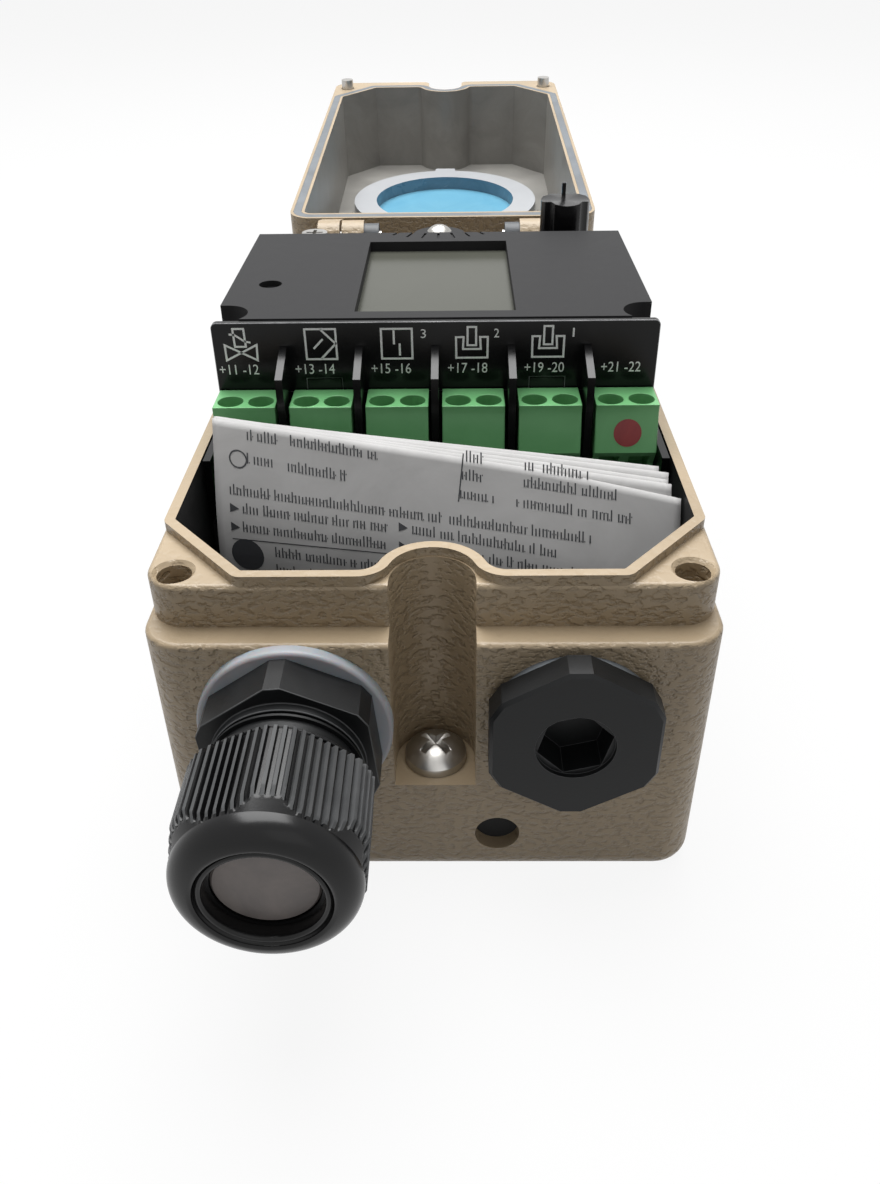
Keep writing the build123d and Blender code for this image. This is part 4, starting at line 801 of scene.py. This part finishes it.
# Each row of words has its left and right end, its place down the page, and its slope
word_places = [
    (0.077, 0.15, 2.6, 0.0), (0.174, 0.375, 2.3, 0.8), (0.075, 0.145, 6.4, 0.0),
    (0.167, 0.305, 6.4, 1.2), (0.033, 0.84, 11.9, -1.7), (0.061, 0.393, 14.8, -2.4),
    (0.442, 0.766, 13.4, 0.3), (0.059, 0.392, 17.9, -3.0), (0.44, 0.82, 16.4, 0.0),
    (0.561, 0.602, 0.7, 0.0), (0.68, 0.83, 0.6, 0.0), (0.552, 0.6, 3.6, 0.0),
    (0.678, 0.892, 3.9, -0.9), (0.548, 0.631, 6.6, 0.0), (0.67, 0.922, 6.8, -0.4),
    (0.13, 0.8, 21.5, -2.6), (0.13, 0.7, 24.5, -2.6),
]
rows = [word_row(*place) for place in word_places]
one_quad = np.array([[0, 1, 2, 3]])
arrow = np.array([[-0.008, -0.75], [-0.008, 0.75], [0.012, 0.03], [0.012, -0.03]])
for place in ((0.04, 14.0), (0.04, 17.1), (0.42, 12.7), (0.42, 15.8)):
    rows.append((arrow + place, one_quad))
rows.append(rings([0.055, 5.9], (1.5, 1.25), 28, stretch=1 / page_run[0]))
rows.append(rings([0.066, 21.6], (2.7, 0.02), 28, stretch=1 / page_run[0]))
column_rule = np.array([[0.554, -0.5], [0.557, -0.5], [0.546, 7.2], [0.543, 7.2]])
rows.append((column_rule, one_quad))
count, rule_left, rule_right = 14, 0.033, 0.42
rule_across = np.linspace(rule_left, rule_right, count)
rule = np.column_stack([rule_across, 19.1 - 5.0 * (rule_across - rule_left)])
first = np.arange(count - 1)
quads = np.column_stack([first, first + 1, first + 1 + count, first + count])
rows.append((np.vstack([rule, rule + [0, 0.16]]), quads))
page_print = printed("leaflet_print", rows, on_page, grey_print, facing=-1)
print("leaflet print", len(page_print.data.polygons), "blocks")

# %% Stamp on the last terminal
# A plain round mark on the sloping nose of the sixth block
low, high = np.array(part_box("terminal_block_6")) / mm
stamp_top, stamp_low = np.array([low[1] + 1.7, 60.6]), np.array([low[1], 54.3])
print("terminal block 6", np.round([low, high], 2).tolist())


def on_nose(flat):
    """Across and down the sloping face of the terminal's nose."""
    slope = (stamp_low - stamp_top) / np.linalg.norm(stamp_low - stamp_top)
    lie = stamp_top + flat[:, 1:] * slope
    return np.column_stack([flat[:, 0], lie[:, 0] - 0.04, lie[:, 1]]) * mm


stamp = rings([(low[0] + high[0]) / 2 + 0.2, 3.2], (2.3, 1.75, 0.02), 40)
printed("terminal_stamp", [stamp], on_nose, red_stamp, facing=-1)

# %% [markdown]
# ## Floor and light
# The object stands on a plain pale floor. The world, one large lamp overhead and a weak
# one in front give the soft light; the floor shows nearly white to the camera, but keeps
# the shadow.
# %% Floor
def seen_directly(tree):
    """1 for rays from the camera, off gloss or through glass, and 0 for soft light."""
    path = add(tree, "ShaderNodeLightPath")
    seen = math_node(tree, "MAXIMUM", path.outputs["Is Camera Ray"], path.outputs["Is Glossy Ray"])
    return math_node(tree, "MAXIMUM", seen, path.outputs["Is Transmission Ray"])


floor_corners = [[[-3.0, -3.0, 0.0], [-3.0, 5.0, 0.0]], [[3.0, -3.0, 0.0], [3.0, 5.0, 0.0]]]
floor = grid_mesh("floor", np.array(floor_corners))
ground = bpy.data.materials.new("pale_floor")
ground.use_nodes = True
tree = ground.node_tree
tree.nodes.clear()
out = add(tree, "ShaderNodeOutputMaterial")
diffuse = add(tree, "ShaderNodeBsdfDiffuse", color=(0.31, 0.31, 0.31, 1.0))
glow = add(tree, "ShaderNodeEmission", color=(1.0, 1.0, 1.0, 1.0), strength=1.13)
blend = add(tree, "ShaderNodeMixShader")
tree.links.new(math_node(tree, "MULTIPLY", seen_directly(tree), 0.8), blend.inputs[0])
tree.links.new(diffuse.outputs[0], blend.inputs[1])
tree.links.new(glow.outputs[0], blend.inputs[2])
tree.links.new(blend.outputs[0], out.inputs[0])
floor.data.materials.append(ground)

# %% Light
world = bpy.data.worlds.new("studio")
world.use_nodes = True
tree = world.node_tree
tree.nodes.clear()
out = add(tree, "ShaderNodeOutputWorld")
sky = add(tree, "ShaderNodeBackground", color=(1.0, 1.0, 1.0, 1.0))
lift = math_node(tree, "MULTIPLY", seen_directly(tree), 0.7)
tree.links.new(math_node(tree, "ADD", lift, 0.26), sky.inputs["Strength"])
tree.links.new(sky.outputs[0], out.inputs[0])
scene.world = world


def lamp(name, place, aim, size, power):
    """Square area lamp at a place, aimed at a point."""
    data = bpy.data.lights.new(name, "AREA")
    data.size, data.energy = size, power
    light = bpy.data.objects.new(name, data)
    light.location = place
    light.rotation_euler = (Vector(aim) - Vector(place)).to_track_quat("-Z", "Y").to_euler()
    scene.collection.objects.link(light)


lamp("overhead", (-0.05, 0.22, 0.75), (0, 0, 0.03), 0.7, 12.0)
lamp("front_fill", (0.3, -0.75, 0.6), (0, 0, 0.03), 0.6, 0.35)
